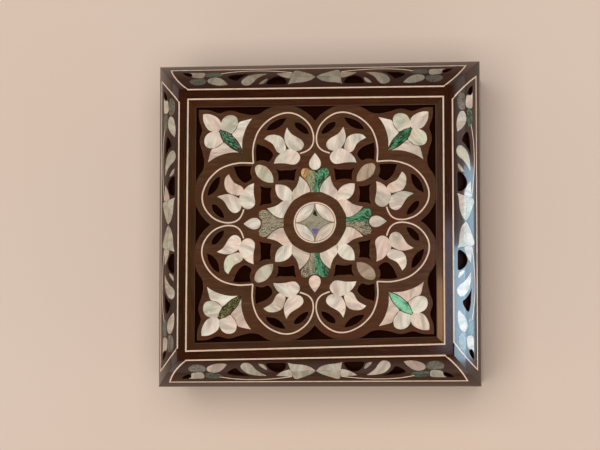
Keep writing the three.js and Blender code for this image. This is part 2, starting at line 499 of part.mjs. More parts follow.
// ---------------------------------------------------------------- butt hinges
const KN = [[-LEAF_HALF, -4.15], [-4, 4], [4.15, LEAF_HALF]];
for (const [name, x] of hinges) {
  const leaf = (z0, z1, spans, up) => {
    let m = boxAt(x - LEAF_HALF, x + LEAF_HALF, LEAF_Y0, LEAF_Y1, z0, z1);
    for (const [a, b] of spans) {
      const knuckle = rodX(x + a, x + b, KNUCKLE_R, 16).add(boxAt(x + a, x + b, LEAF_Y1 - 0.5, AXIS_Y - 1.2, z0, z1));
      m = knuckle.subtract(rodX(x + a - 1, x + b + 1, BORE_R, 12)).add(m);
    }
    for (const d of [-SCREW_X, SCREW_X]) m = m.subtract(screwAt(x + d, up, 0.03));
    return m;
  };
  node(`hinge_${name}_case_leaf`, leaf(CASE_H - LEAF_T, CASE_H, [KN[0], KN[2]], false), BRASS);
  node(`hinge_${name}_lid_leaf`, leaf(LID_Z, LID_Z + LEAF_T, [KN[1]], true), BRASS);
  node(`hinge_${name}_pin`, rodX(x - LEAF_HALF, x + LEAF_HALF, PIN_R, 12), BRASS);
  [['a', -SCREW_X], ['b', SCREW_X]].forEach(([n, d]) => {
    node(`hinge_${name}_case_screw_${n}`, screwAt(x + d, false), BRASS);
    node(`hinge_${name}_lid_screw_${n}`, screwAt(x + d, true), BRASS);
  });
}

export default group;
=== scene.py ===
import math
import random

import bmesh
import bpy
import numpy as np
from mathutils import Euler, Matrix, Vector
from mathutils.geometry import tessellate_polygon


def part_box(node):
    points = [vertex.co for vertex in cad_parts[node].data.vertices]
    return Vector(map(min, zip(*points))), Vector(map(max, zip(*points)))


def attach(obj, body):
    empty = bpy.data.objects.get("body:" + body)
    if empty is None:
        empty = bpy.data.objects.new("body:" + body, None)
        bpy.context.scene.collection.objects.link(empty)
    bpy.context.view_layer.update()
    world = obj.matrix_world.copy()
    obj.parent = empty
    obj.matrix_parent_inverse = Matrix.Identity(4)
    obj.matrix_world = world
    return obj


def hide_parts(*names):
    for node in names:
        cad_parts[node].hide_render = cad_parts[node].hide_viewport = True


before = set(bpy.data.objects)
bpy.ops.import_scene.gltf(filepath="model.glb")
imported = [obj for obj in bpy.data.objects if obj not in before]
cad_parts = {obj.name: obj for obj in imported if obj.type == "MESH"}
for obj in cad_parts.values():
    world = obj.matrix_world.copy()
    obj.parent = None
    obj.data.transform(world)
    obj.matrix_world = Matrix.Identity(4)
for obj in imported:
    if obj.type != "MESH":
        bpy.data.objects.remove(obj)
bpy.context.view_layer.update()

MM = 0.001

# ------------------------------------------------------------------ driving sizes, millimetres, as in the CAD
LID_HALF, CASE_HALF, CASE_IN, CASE_H = 80.0, 77.5, 69.5, 52.0
BASE_T, REBATE_HALF, SEAM, LID_Z, LID_H, RIM_H = 5.0, 73.5, 0.3, 52.3, 18.0, 4.0
SLOPE_END, SLOPE_BULGE, CREST_HALF, OPEN_HALF = 0.73, 1.6, 62.0, 58.05
FRET_TOP, FRET_T, BACKING_T, PAD_T, WIRE, PX = 68.9, 2.75, 3.0, 2.0, 0.75, 0.4917
HINGE_X, AXIS_Y, AXIS_Z, KNUCKLE_R, PIN_R = 45.0, 78.0, 52.15, 1.9, 0.8
LEAF_HALF, LEAF_T, LEAF_Y0, LEAF_Y1, SCREW_X, SCREW_Y = 10.0, 0.9, 70.4, 75.8, 6.2, 73.0
CREST = np.array([[-63.2, 61.7], [63.0, 61.0], [63.1, -59.6], [-63.9, -62.6]])
OUTER = np.array([[-80, 80], [80, 80], [80, -80], [-80, -80]], float)
SIDES = ["back", "right", "front", "left"]
FIELD = [(0.14, 0.735, 4.2), (0.095, 0.735, 6.2), (0.135, 0.735, 4.2), (0.09, 0.735, 6.2)]
CORNERS = ["back_left", "back_right", "front_right", "front_left"]

# ------------------------------------------------------------------ the pattern, in pattern units, one eighth of it
P_PETAL = [[-15.2, 47.4], [-10.9, 43.8], [-7.5, 39.8], [-5.2, 35], [-4.8, 30.9], [-8.5, 29.7], [-13.5, 27.3], [-18, 24.6], [-22.4, 21.4], [-23, 27], [-22, 32], [-18.6, 36.6], [-16.6, 41.4]]
P_LEAF = [[-39, 39], [-33.3, 39], [-27.2, 36.8], [-22.8, 32], [-21.9, 27], [-22, 22], [-27, 21.9], [-32, 22.8], [-36.8, 27.2], [-39, 33.3]]
P_TULIP = [[0, 30.6], [-4.4, 30.6], [-4.8, 35], [-7, 40], [-10.4, 44.2], [-13.2, 48], [-13.7, 51.4], [-12.2, 54.4], [-9, 55.4], [-6.4, 54.8], [-4.8, 53.5], [-2.4, 52.6], [0, 52.4]]
P_BUD = [[0, 70.6], [-2.8, 67], [-5.2, 63], [-5.9, 59.6], [-5.2, 56.4], [-3, 54], [0, 53.2], [3, 54], [5.2, 56.4], [5.9, 59.6], [5.2, 63], [2.8, 67]]
P_DROP = [[-40.8, 40.8], [-41.2, 46.5], [-43.8, 52.5], [-48.2, 57.2], [-53.4, 59.2], [-56.8, 59.2], [-59.2, 56.8], [-59.2, 53.4], [-57.2, 48.2], [-52.5, 43.8], [-46.5, 41.2]]
P_TRI = [
    [[-27.7, 97], [-23.4, 90.5], [-13.6, 84], [-10.9, 78.6], [-14.7, 73.2], [-23.4, 73.2], [-28.8, 79.7], [-30.4, 86.2], [-29.3, 92.7]],
    [[-50.5, 85.1], [-46.1, 88.9], [-38.5, 89.4], [-32, 86.2], [-29.3, 79.7], [-28.8, 74.2], [-33.2, 70.4], [-37.4, 72.1], [-41.8, 79.7], [-47.2, 83.5]],
    [[-41, 59.9], [-38, 66.5], [-31.8, 72.2], [-25.2, 75], [-17.8, 72], [-14.6, 67.3], [-15.6, 62.5], [-20, 59], [-30, 60.2], [-36.4, 60.4]],
]
P_CORNER = [
    [[-111.3, 111.3], [-105.3, 111.3], [-98.8, 108.8], [-94.4, 104.8], [-93.4, 99.8], [-94.6, 94.6], [-99.8, 93.4], [-104.8, 94.4], [-108.8, 98.8], [-111.3, 105.3]],
    [[-93.8, 102], [-89.9, 108], [-83.8, 110], [-78, 107.8], [-76.4, 101.8], [-78, 96.8], [-80.4, 93.8], [-82.7, 91.2], [-88, 93.5], [-93.4, 95.4], [-94.4, 98.6]],
    [[-62, 106.4], [-66.8, 99.4], [-70.2, 91], [-71.9, 83], [-71.9, 74.4], [-76.2, 82.8], [-82.2, 89.8], [-82.3, 91], [-80, 93.6], [-77.6, 96.8], [-76.2, 101.4], [-74.4, 103.2], [-68.6, 104.8]],
    [[-95, 95], [-88.2, 93], [-82, 88.6], [-76.6, 82.2], [-71.6, 71.6], [-82.2, 76.6], [-88.6, 82], [-93, 88.2]],
]
P_SCROLL = [[-60.9, 60.9], [-61.4, 68], [-61.4, 75], [-59.6, 84.5], [-55.6, 94], [-48.3, 102.5], [-40, 108.1], [-30, 111.4], [-20.5, 110.6], [-11.8, 105.8], [-5.5, 99], [-2.1, 91], [-1.4, 84], [-2.8, 78], [-6.8, 73.4], [-14.6, 70.2]]
P_HOLES = [
    [[-48, 94.2], [-46.4, 97.9], [-41.4, 102.3], [-34.6, 105.4], [-28.8, 106.3], [-31.8, 101], [-35.8, 97.2], [-41.5, 94.8]],
    [[-20, 101.8], [-15.2, 101.2], [-10.8, 98], [-7.4, 93.8], [-6.4, 89.8], [-11, 90.8], [-16, 94.2], [-19.6, 98]],
    [[-57.6, 80.6], [-54.5, 79.2], [-50, 77.6], [-45.2, 74.4], [-41.6, 69.6], [-43.4, 65], [-46.4, 62.4], [-50, 63.8], [-54, 64], [-58, 62.8], [-58.4, 68.5], [-58.6, 74.5]],
    [[-38.4, 54.8], [-34.5, 53.2], [-29, 53.5], [-23, 53.4], [-18.2, 54.8], [-19.6, 50], [-19.8, 46.4], [-20.6, 42.8], [-26, 43.8], [-31, 44], [-36.2, 43], [-36, 47], [-36.6, 51]],
]
P_EDGE = [[0, 103.4], [-5, 109.1], [-12, 114.3], [-20.7, 118], [-41.9, 118], [-49, 115.2], [-55, 111.3], [-63, 110], [-69, 111], [-75, 112.4], [-80, 114.2], [-85, 114.8], [-90, 113.6], [-94.5, 112.2], [-98.5, 113.0], [-104, 115.0], [-110, 115.9], [-114.3, 115.8]]
# half a border: s along the rail from its middle in pattern units, v across from the outer wire (0) to the inner (1)
B_LILY_UP = [[27.4, 0.84], [24.5, 0.79], [20, 0.755], [12, 0.72], [5, 0.62], [0.5, 0.46], [0.5, 0.44], [12, 0.44], [24.2, 0.43], [25.6, 0.54], [26.4, 0.68]]
B_LILY_LOW = [[0.5, 0.44], [0.5, 0.42], [5, 0.3], [11, 0.2], [16, 0.13], [20, 0.075], [22.6, 0.1], [24, 0.2], [24.2, 0.43], [12, 0.44]]
B_TAIL = [[41, 0.23], [35, 0.4], [30, 0.48], [26.2, 0.52], [24.4, 0.42], [24.2, 0.2], [28, 0.19], [35, 0.21]]
B_BUD = [[57, 0.8], [55.6, 0.7], [52.6, 0.58], [49, 0.49], [48.6, 0.56], [50, 0.68], [52.4, 0.77]]
B_PAISLEY = [[49.5, 0.24], [55.5, 0.38], [60, 0.54], [63, 0.72], [66.5, 0.84], [71, 0.85], [74.4, 0.76], [75, 0.63], [72.6, 0.47], [68, 0.33], [62, 0.26], [55, 0.23]]
B_LEAF = [[88, 0.8], [93, 0.84], [99, 0.83], [105, 0.76], [109, 0.65], [109.2, 0.5], [104, 0.4], [98, 0.43], [92.5, 0.58]]
B_BLOCK = [[130, 0.12], [126.8, 0.2], [125.6, 0.37], [121, 0.42], [115, 0.42], [113, 0.3], [114, 0.15], [121, 0.12]]
B_ROSE = [[128, 0.62], [124, 0.77], [118, 0.81], [112.8, 0.75], [110.2, 0.6], [112, 0.47], [119, 0.45], [126, 0.48]]
B_GREEN = [[111.6, 0.37], [104.5, 0.38], [98, 0.35], [94, 0.26], [97, 0.16], [104, 0.13], [111, 0.17], [112.4, 0.28]]
# case sides: s along, h above the middle of the field
S_STEM = [[-36, 0], [-48, 4], [-60, 1], [-74, -3], [-88, 0.5], [-99, 1], [-110, 0], [-133, 0]]


# ------------------------------------------------------------------ plane geometry
def eighth(k):
    def f(p):
        p = np.atleast_2d(np.array(p, float))
        if k % 2:
            p = np.stack([-p[:, 1], -p[:, 0]], 1)
        for _ in range(k >> 1):
            p = np.stack([p[:, 1], -p[:, 0]], 1)
        return p
    return f


def warp(p):
    p = np.atleast_2d(np.array(p, float))
    u, v = p[:, 0] / CREST_HALF, p[:, 1] / CREST_HALF
    w = np.stack([(1 - u) * (1 + v), (1 + u) * (1 + v), (1 + u) * (1 - v), (1 - u) * (1 - v)], 1) / 4
    return w @ CREST


def area(p):
    x, y = p[:, 0], p[:, 1]
    return 0.5 * float(np.sum(x * np.roll(y, -1) - np.roll(x, -1) * y))


def ccw(p):
    p = np.array(p, float)
    return p[::-1].copy() if area(p) < 0 else p


def grow(poly, d):
    """Moves every edge of a counter-clockwise outline outwards by d."""
    p = ccw(poly)
    a, b = np.roll(p, 1, 0), np.roll(p, -1, 0)
    u, v = p - a, b - p
    u /= np.linalg.norm(u, axis=1)[:, None] + 1e-12
    v /= np.linalg.norm(v, axis=1)[:, None] + 1e-12
    m = np.stack([u[:, 1] + v[:, 1], -u[:, 0] - v[:, 0]], 1)
    L = np.linalg.norm(m, axis=1)[:, None] + 1e-9
    m /= L
    c = m[:, 0] * u[:, 1] - m[:, 1] * u[:, 0]
    k = np.minimum(2.2, 1 / np.maximum(0.3, c))
    return p + m * (d * k)[:, None]


def smooth(pts, closed=True, step=0.8, sharp=72.0):
    """A curve through pts whose hard turns stay corners."""
    P = np.array(pts, float)
    n = len(P)
    idx = lambda i: P[i % n] if closed else P[min(max(i, 0), n - 1)]
    corner = []
    for i in range(n):
        u, v = idx(i) - idx(i - 1), idx(i + 1) - idx(i)
        c = float(u @ v) / (np.linalg.norm(u) * np.linalg.norm(v) + 1e-12)
        corner.append(math.degrees(math.acos(max(-1, min(1, c)))) > sharp if closed or 0 < i < n - 1 else True)
    out = []
    for i in range(n if closed else n - 1):
        p0, p1, p2, p3 = idx(i - 1), idx(i), idx(i + 1), idx(i + 2)
        L = np.linalg.norm(p2 - p1)
        def tangent(a, b, c, hard):
            if hard:
                return None
            t = (c - a)
            return t / (np.linalg.norm(t) + 1e-12) * L
        t1, t2 = tangent(p0, p1, p2, corner[i]), tangent(p1, p2, p3, corner[(i + 1) % n])
        if t1 is None and t2 is None:
            t1 = t2 = p2 - p1
        elif t1 is None:
            t1 = 1.5 * (p2 - p1) - 0.5 * t2
        elif t2 is None:
            t2 = 1.5 * (p2 - p1) - 0.5 * t1
        m = max(1, int(math.ceil(L / step)))
        for j in range(m):
            t = j / m
            h = (2 * t**3 - 3 * t**2 + 1, t**3 - 2 * t**2 + t, -2 * t**3 + 3 * t**2, t**3 - t**2)
            out.append(h[0] * p1 + h[1] * t1 + h[2] * p2 + h[3] * t2)
    if not closed:
        out.append(P[-1])
    return np.array(out)


def inset(poly, d):
    """A counter-clockwise outline moved inwards by d. At sharp tips its points gather on the tip, so that it never folds."""
    p = ccw(poly)
    n = len(p)
    a, b = np.roll(p, 1, 0), np.roll(p, -1, 0)
    u, v = p - a, b - p
    u /= np.linalg.norm(u, axis=1)[:, None] + 1e-12
    v /= np.linalg.norm(v, axis=1)[:, None] + 1e-12
    m = np.stack([u[:, 1] + v[:, 1], -u[:, 0] - v[:, 0]], 1)
    m /= np.linalg.norm(m, axis=1)[:, None] + 1e-9
    c = np.clip(m[:, 0] * u[:, 1] - m[:, 1] * u[:, 0], 0.16, 1.0)
    turn = u[:, 0] * v[:, 1] - u[:, 1] * v[:, 0]
    q = p - m * (d / np.where(turn > 0, c, np.maximum(c, 0.7)))[:, None]
    for i in np.nonzero((turn > 0) & (c < 0.85))[0]:
        for step in (1, -1):
            j, run = i, 0.0
            while run < 1.6 * d / c[i]:
                k = (j + step) % n
                run += float(np.linalg.norm(p[k] - p[j]))
                j = k
                if (q[j] - q[i]) @ m[i] > 0:
                    q[j] = q[i]
                if j == i:
                    break
    return q


def arc3(a, b, c, n):
    """Points of the circle arc from a through b to c."""
    (ax, ay), (bx, by), (cx, cy) = a, b, c
    d = 2 * (ax * (by - cy) + bx * (cy - ay) + cx * (ay - by))
    ux = ((ax**2 + ay**2) * (by - cy) + (bx**2 + by**2) * (cy - ay) + (cx**2 + cy**2) * (ay - by)) / d
    uy = ((ax**2 + ay**2) * (cx - bx) + (bx**2 + by**2) * (ax - cx) + (cx**2 + cy**2) * (bx - ax)) / d
    r = math.hypot(ax - ux, ay - uy)
    t = [math.atan2(q[1] - uy, q[0] - ux) for q in (a, b, c)]
    span = (t[2] - t[0]) % (2 * math.pi)
    if (t[1] - t[0]) % (2 * math.pi) > span:
        span -= 2 * math.pi
    return np.array([[ux + r * math.cos(t[0] + span * i / n), uy + r * math.sin(t[0] + span * i / n)] for i in range(n + 1)])


# ------------------------------------------------------------------ surfaces that the pattern is laid on
def fret_map(P):
    """(x, y, h) on the pierced panel, already in millimetres of plan."""
    q = warp(P[:, :2])
    return np.column_stack([q, FRET_TOP + P[:, 2]])


OPEN_F = 1 + (CREST_HALF - OPEN_HALF) / (LID_HALF - CREST_HALF)
OPENING = warp([[-OPEN_HALF, OPEN_HALF], [OPEN_HALF, OPEN_HALF], [OPEN_HALF, -OPEN_HALF], [-OPEN_HALF, -OPEN_HALF]])


def rail_corner(i, f):
    f = np.atleast_1d(np.array(f, float))[:, None]
    a = OUTER[i % 4] + (CREST[i % 4] - OUTER[i % 4]) * f
    b = CREST[i % 4] + (OPENING[i % 4] - CREST[i % 4]) * (f - 1) / (OPEN_F - 1)
    return np.where(f <= 1, a, b)


def surf_z(f):
    f = np.array(f, float)
    t = f / SLOPE_END
    slope = RIM_H + (LID_H - RIM_H) * t + SLOPE_BULGE * 4 * t * (1 - t) * 1.35
    inner = LID_H - (LID_H - (FRET_TOP - LID_Z)) * (f - 1.03) / (OPEN_F - 1.03)
    return np.where(f <= SLOPE_END, slope, np.where(f <= 1.03, LID_H, inner))


class Rail:
    """Rail i of the lid: X runs along it (seen from outside, to the right), Y is the way up its slope in millimetres."""

    def __init__(self, i):
        self.i = i
        self.fs = np.linspace(0, 1.03, 400)
        mid = (rail_corner(i, self.fs) + rail_corner(i + 1, self.fs)) / 2
        d = np.diff(mid, axis=0)
        e = rail_corner(i + 1, 0)[0] - rail_corner(i, 0)[0]
        e /= np.linalg.norm(e)
        inward = np.array([e[1], -e[0]])
        r = np.abs(d @ inward)
        z = np.diff(surf_z(self.fs))
        self.A = np.concatenate([[0], np.cumsum(np.hypot(r, z))])

    def f_of(self, Y):
        return np.interp(Y, self.A, self.fs)

    def Y_of(self, f):
        return np.interp(f, self.fs, self.A)

    def length(self, f):
        return np.linalg.norm(rail_corner(self.i + 1, f) - rail_corner(self.i, f), axis=1)

    def at(self, X, f, z, h=0.0):
        """A point at X along, part f across, at height z over the lid's underside, h along the slope's normal."""
        f = np.atleast_1d(np.array(f, float))
        a, b = rail_corner(self.i, f), rail_corner(self.i + 1, f)
        m, e = (a + b) / 2, b - a
        e /= np.linalg.norm(e, axis=1)[:, None]
        p = m - e * np.atleast_1d(X)[:, None]
        c = np.stack([e[:, 1], -e[:, 0]], 1)  # horizontally inwards
        eps = 1e-3
        m2 = (rail_corner(self.i, f + eps) + rail_corner(self.i + 1, f + eps)) / 2
        dr = np.abs(np.sum((m2 - m) * c, axis=1))
        dz = surf_z(f + eps) - surf_z(f)
        L = np.hypot(dr, dz)
        h = np.broadcast_to(h, f.shape)
        z = np.broadcast_to(z, f.shape)
        q = p - c * (dz / L * h)[:, None]
        return np.column_stack([q, LID_Z + z + dr / L * h])

    def map(self, P):
        f = self.f_of(P[:, 1])
        return self.at(P[:, 0], f, surf_z(f), P[:, 2])


class Wall:
    """Wall i of the case, seen from outside: X to the right, Y up from the floor, h out of the face."""

    def __init__(self, i):
        self.o = np.array([[0, 1], [1, 0], [0, -1], [-1, 0]][i], float)
        self.r = np.array([-self.o[1], self.o[0]])

    def map(self, P):
        q = self.r * P[:, :1] + self.o * (CASE_HALF + P[:, 2:3])
        return np.column_stack([q, P[:, 1]])


# ------------------------------------------------------------------ objects
def finish_object(name, mesh, body, materials, replaced=(), sharp=18):
    ob = bpy.data.objects.new(name, mesh)
    bpy.context.scene.collection.objects.link(ob)
    for m in materials:
        mesh.materials.append(m)
    if sharp is not None and not mesh.has_custom_normals:
        for p in mesh.polygons:
            p.use_smooth = True
        mesh.set_sharp_from_angle(angle=math.radians(sharp))
    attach(ob, body)
    if replaced:
        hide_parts(*replaced)
    return ob


def new_bm():
    bm = bmesh.new()
    return bm, bm.verts.layers.float_vector.new("Flow"), bm.verts.layers.float_color.new("Tint")


def slice_rows(bm, y0, y1, step):
    """Cuts the flat mesh into narrow rows, so that it can follow a curved slope."""
    n = int((y1 - y0) / step)
    for k in range(1, n):
        y = y0 + (y1 - y0) * k / n
        bmesh.ops.bisect_plane(bm, geom=bm.verts[:] + bm.edges[:] + bm.faces[:], plane_co=(0, y, 0), plane_no=(0, 1, 0), dist=1e-5)


def to_mesh(bm, name, mapping, sharp=18):
    """Lays the flat mesh (x, y, h) on its surface. Its normals are those of the flat mesh, turned with the surface."""
    bmesh.ops.dissolve_degenerate(bm, dist=1e-6, edges=bm.edges[:])
    bmesh.ops.recalc_face_normals(bm, faces=bm.faces[:])
    me = bpy.data.meshes.new(name)
    bm.to_mesh(me)
    bm.free()
    me.polygons.foreach_set("use_smooth", [True] * len(me.polygons))
    me.set_sharp_from_angle(angle=math.radians(sharp))
    flat = np.empty(len(me.loops) * 3, np.float32)
    me.corner_normals.foreach_get("vector", flat)
    flat = flat.reshape(-1, 3).astype(float)
    # level faces stay level up to their outline, and the roundings beside them start level
    level = {v for f in me.polygons if f.normal.z > 0.9995 for v in f.vertices}
    for f in me.polygons:
        if f.normal.z > 0.55:
            for k, v in zip(f.loop_indices, f.vertices):
                if f.normal.z > 0.9995 or v in level:
                    flat[k] = (0, 0, 1)
    co = np.empty(len(me.vertices) * 3, np.float32)
    me.vertices.foreach_get("co", co)
    co = co.reshape(-1, 3).astype(float)
    e = 0.02
    q = mapping(co)
    tx = mapping(co + [e, 0, 0]) - mapping(co - [e, 0, 0])
    ty = mapping(co + [0, e, 0]) - mapping(co - [0, e, 0])
    tx /= np.linalg.norm(tx, axis=1)[:, None]
    nz = np.cross(tx, ty)
    nz /= np.linalg.norm(nz, axis=1)[:, None]
    ty = np.cross(nz, tx)
    vi = np.empty(len(me.loops), np.int32)
    me.loops.foreach_get("vertex_index", vi)
    n = tx[vi] * flat[:, :1] + ty[vi] * flat[:, 1:2] + nz[vi] * flat[:, 2:3]
    n /= np.linalg.norm(n, axis=1)[:, None] + 1e-12
    me.vertices.foreach_set("co", (q * MM).astype(np.float32).ravel())
    me.update()
    me.normals_split_custom_set([tuple(v) for v in n])
    return me


def inlays(bm, flow, tint, pieces, top=0.05, depth=0.6, bevel=0.1, shrink=0.05):
    """pieces: (outline, material index, tint, grain angle, seed) in millimetres of the surface."""
    for count, (poly, mat, col, ang, seed) in enumerate(pieces):
        top += 0.006 * (1 if count % 4 else -3)  # no two neighbours are quite level
        outer = inset(poly, shrink)
        rings = [(outer, -depth), (outer, top - bevel), (inset(poly, shrink + bevel * 0.35), top - bevel * 0.3), (inset(poly, shrink + bevel), top)]
        c, s = math.cos(ang), math.sin(ang)
        cx, cy = outer.mean(0)
        made = []
        for ring, h in rings:
            row = []
            for x, y in ring:
                v = bm.verts.new((x, y, h))
                v[flow] = ((x - cx) * c + (y - cy) * s, -(x - cx) * s + (y - cy) * c, seed)
                v[tint] = (*col, 1.0)
                row.append(v)
            made.append(row)
        n = len(outer)
        for a, b in zip(made, made[1:]):
            for j in range(n):
                f = bm.faces.new((a[j], a[(j + 1) % n], b[(j + 1) % n], b[j]))
                f.material_index = mat
        for row, flip in ((made[-1], 1), (made[0], -1)):
            for tri in tessellate_polygon([[Vector((v.co.x, v.co.y, 0)) for v in row]]):
                if len(set(tri)) == 3:
                    f = bm.faces.new([row[t] for t in tri][::flip])
                    f.material_index = mat
    bmesh.ops.remove_doubles(bm, verts=bm.verts[:], dist=1e-5)


def wire_section(w, top=0.06, depth=0.5):
    return [(-w / 2, -depth), (-w / 2, top - 0.08), (-w * 0.36, top - 0.015), (0, top), (w * 0.36, top - 0.015), (w / 2, top - 0.08), (w / 2, -depth)]


def wire_closed(bm, flow, tint, poly, w, mat, col=(1, 1, 1), top=0.06, depth=0.5, seed=0.0):
    rows = []
    for d, h in wire_section(w, top, depth):
        ring = grow(poly, d)
        row = []
        along = 0.0
        for j, (x, y) in enumerate(ring):
            v = bm.verts.new((x, y, h))
            v[flow] = (along, d, seed)
            v[tint] = (*col, 1.0)
            along += float(np.linalg.norm(ring[(j + 1) % len(ring)] - ring[j]))
            row.append(v)
        rows.append(row)
    n = len(poly)
    for a, b in zip(rows, rows[1:] + rows[:1]):
        for j in range(n):
            bm.faces.new((a[j], a[(j + 1) % n], b[(j + 1) % n], b[j])).material_index = mat


def wire_open(bm, flow, tint, line, w, mat, col=(1, 1, 1), top=0.06, depth=0.5, seed=0.0):
    line = np.array(line, float)
    t = np.gradient(line, axis=0)
    t /= np.linalg.norm(t, axis=1)[:, None] + 1e-12
    nrm = np.stack([-t[:, 1], t[:, 0]], 1)
    along = np.concatenate([[0], np.cumsum(np.linalg.norm(np.diff(line, axis=0), axis=1))])
    rows = []
    for d, h in wire_section(w, top, depth):
        row = []
        for j, p in enumerate(line + nrm * d):
            v = bm.verts.new((p[0], p[1], h))
            v[flow] = (along[j], d, seed)
            v[tint] = (*col, 1.0)
            row.append(v)
        rows.append(row)
    for a, b in zip(rows, rows[1:] + rows[:1]):
        for j in range(len(line) - 1):
            bm.faces.new((a[j], a[j + 1], b[j + 1], b[j])).material_index = mat
    for j in (0, -1):
        bm.faces.new([r[j] for r in rows]).material_index = mat


def pierced(outer, holes, h0, h1, bevel, rounds=1):
    """A flat plate with rounded edges and openings, as a mesh in (x, y, h)."""
    cu = bpy.data.curves.new("tmp", "CURVE")
    cu.dimensions = "2D"
    cu.fill_mode = "BOTH"
    cu.extrude = (h1 - h0) / 2 - bevel
    cu.bevel_depth = bevel
    cu.bevel_resolution = rounds
    cu.offset = -bevel
    for ring in [ccw(outer)] + [ccw(h)[::-1] for h in holes]:
        sp = cu.splines.new("POLY")
        sp.points.add(len(ring) - 1)
        sp.points.foreach_set("co", np.column_stack([ring, np.zeros(len(ring)), np.ones(len(ring))]).astype(np.float32).ravel())
        sp.use_cyclic_u = True
    ob = bpy.data.objects.new("tmp", cu)
    bpy.context.scene.collection.objects.link(ob)
    bpy.context.view_layer.update()
    me = bpy.data.meshes.new_from_object(ob.evaluated_get(bpy.context.evaluated_depsgraph_get()))
    bpy.data.objects.remove(ob)
    bm, flow, tint = new_bm()
    bm.from_mesh(me)
    bpy.data.meshes.remove(me)
    bmesh.ops.remove_doubles(bm, verts=bm.verts[:], dist=1e-4)
    flow, tint = bm.verts.layers.float_vector["Flow"], bm.verts.layers.float_color["Tint"]
    for v in bm.verts:
        v.co.z += (h0 + h1) / 2
        v[flow] = (v.co.x, v.co.y, 0.0)
        v[tint] = (1, 1, 1, 1)
    return bm


def loft(bm, columns, mats, flows, caps=True):
    """columns: lists of points of one closed profile; mats(j, k) is the material of the face between columns j, j + 1 at k."""
    flow, tint = bm.verts.layers.float_vector["Flow"], bm.verts.layers.float_color["Tint"]
    rows = []
    for pts, fl in zip(columns, flows):
        row = []
        for p, q in zip(pts, fl):
            v = bm.verts.new(p)
            v[flow] = q
            v[tint] = (1, 1, 1, 1)
            row.append(v)
        rows.append(row)
    n = len(rows[0])
    for j, (a, b) in enumerate(zip(rows, rows[1:])):
        for k in range(n):
            f = bm.faces.new((a[k], a[(k + 1) % n], b[(k + 1) % n], b[k]))
            f.material_index = mats(j, k)
    if caps:
        bm.faces.new(rows[0][::-1])
        bm.faces.new(rows[-1])


def boolean(ob, boxes=(), solids=()):
    """Cuts boxes (x0, x1, y0, y1, z0, z1), and ready made solids, out of an object."""
    cutters = list(solids)
    for x0, x1, y0, y1, z0, z1 in boxes:
        bm = bmesh.new()
        bmesh.ops.create_cube(bm, size=1)
        for v in bm.verts:
            v.co = ((x0 + x1) / 2 + v.co.x * (x1 - x0), (y0 + y1) / 2 + v.co.y * (y1 - y0), (z0 + z1) / 2 + v.co.z * (z1 - z0))
            v.co *= MM
        me = bpy.data.meshes.new("cut")
        bm.to_mesh(me)
        bm.free()
        cutters.append(me)
    for me in cutters:
        c = bpy.data.objects.new("cut", me)
        bpy.context.scene.collection.objects.link(c)
        m = ob.modifiers.new("cut", "BOOLEAN")
        m.operation, m.object, m.solver = "DIFFERENCE", c, "EXACT"
        bpy.context.view_layer.update()
        new = bpy.data.meshes.new_from_object(ob.evaluated_get(bpy.context.evaluated_depsgraph_get()))
        ob.modifiers.remove(m)
        old = ob.data
        new.name = old.name
        ob.data = new
        bpy.data.objects.remove(c)
        bpy.data.meshes.remove(old)
        ob.data.set_sharp_from_angle(angle=math.radians(35))


# ------------------------------------------------------------------ materials
def lin(r, g, b):
    f = lambda c: (c / 255 / 12.92) if c / 255 <= 0.04045 else ((c / 255 + 0.055) / 1.055) ** 2.4
    return (f(r), f(g), f(b))


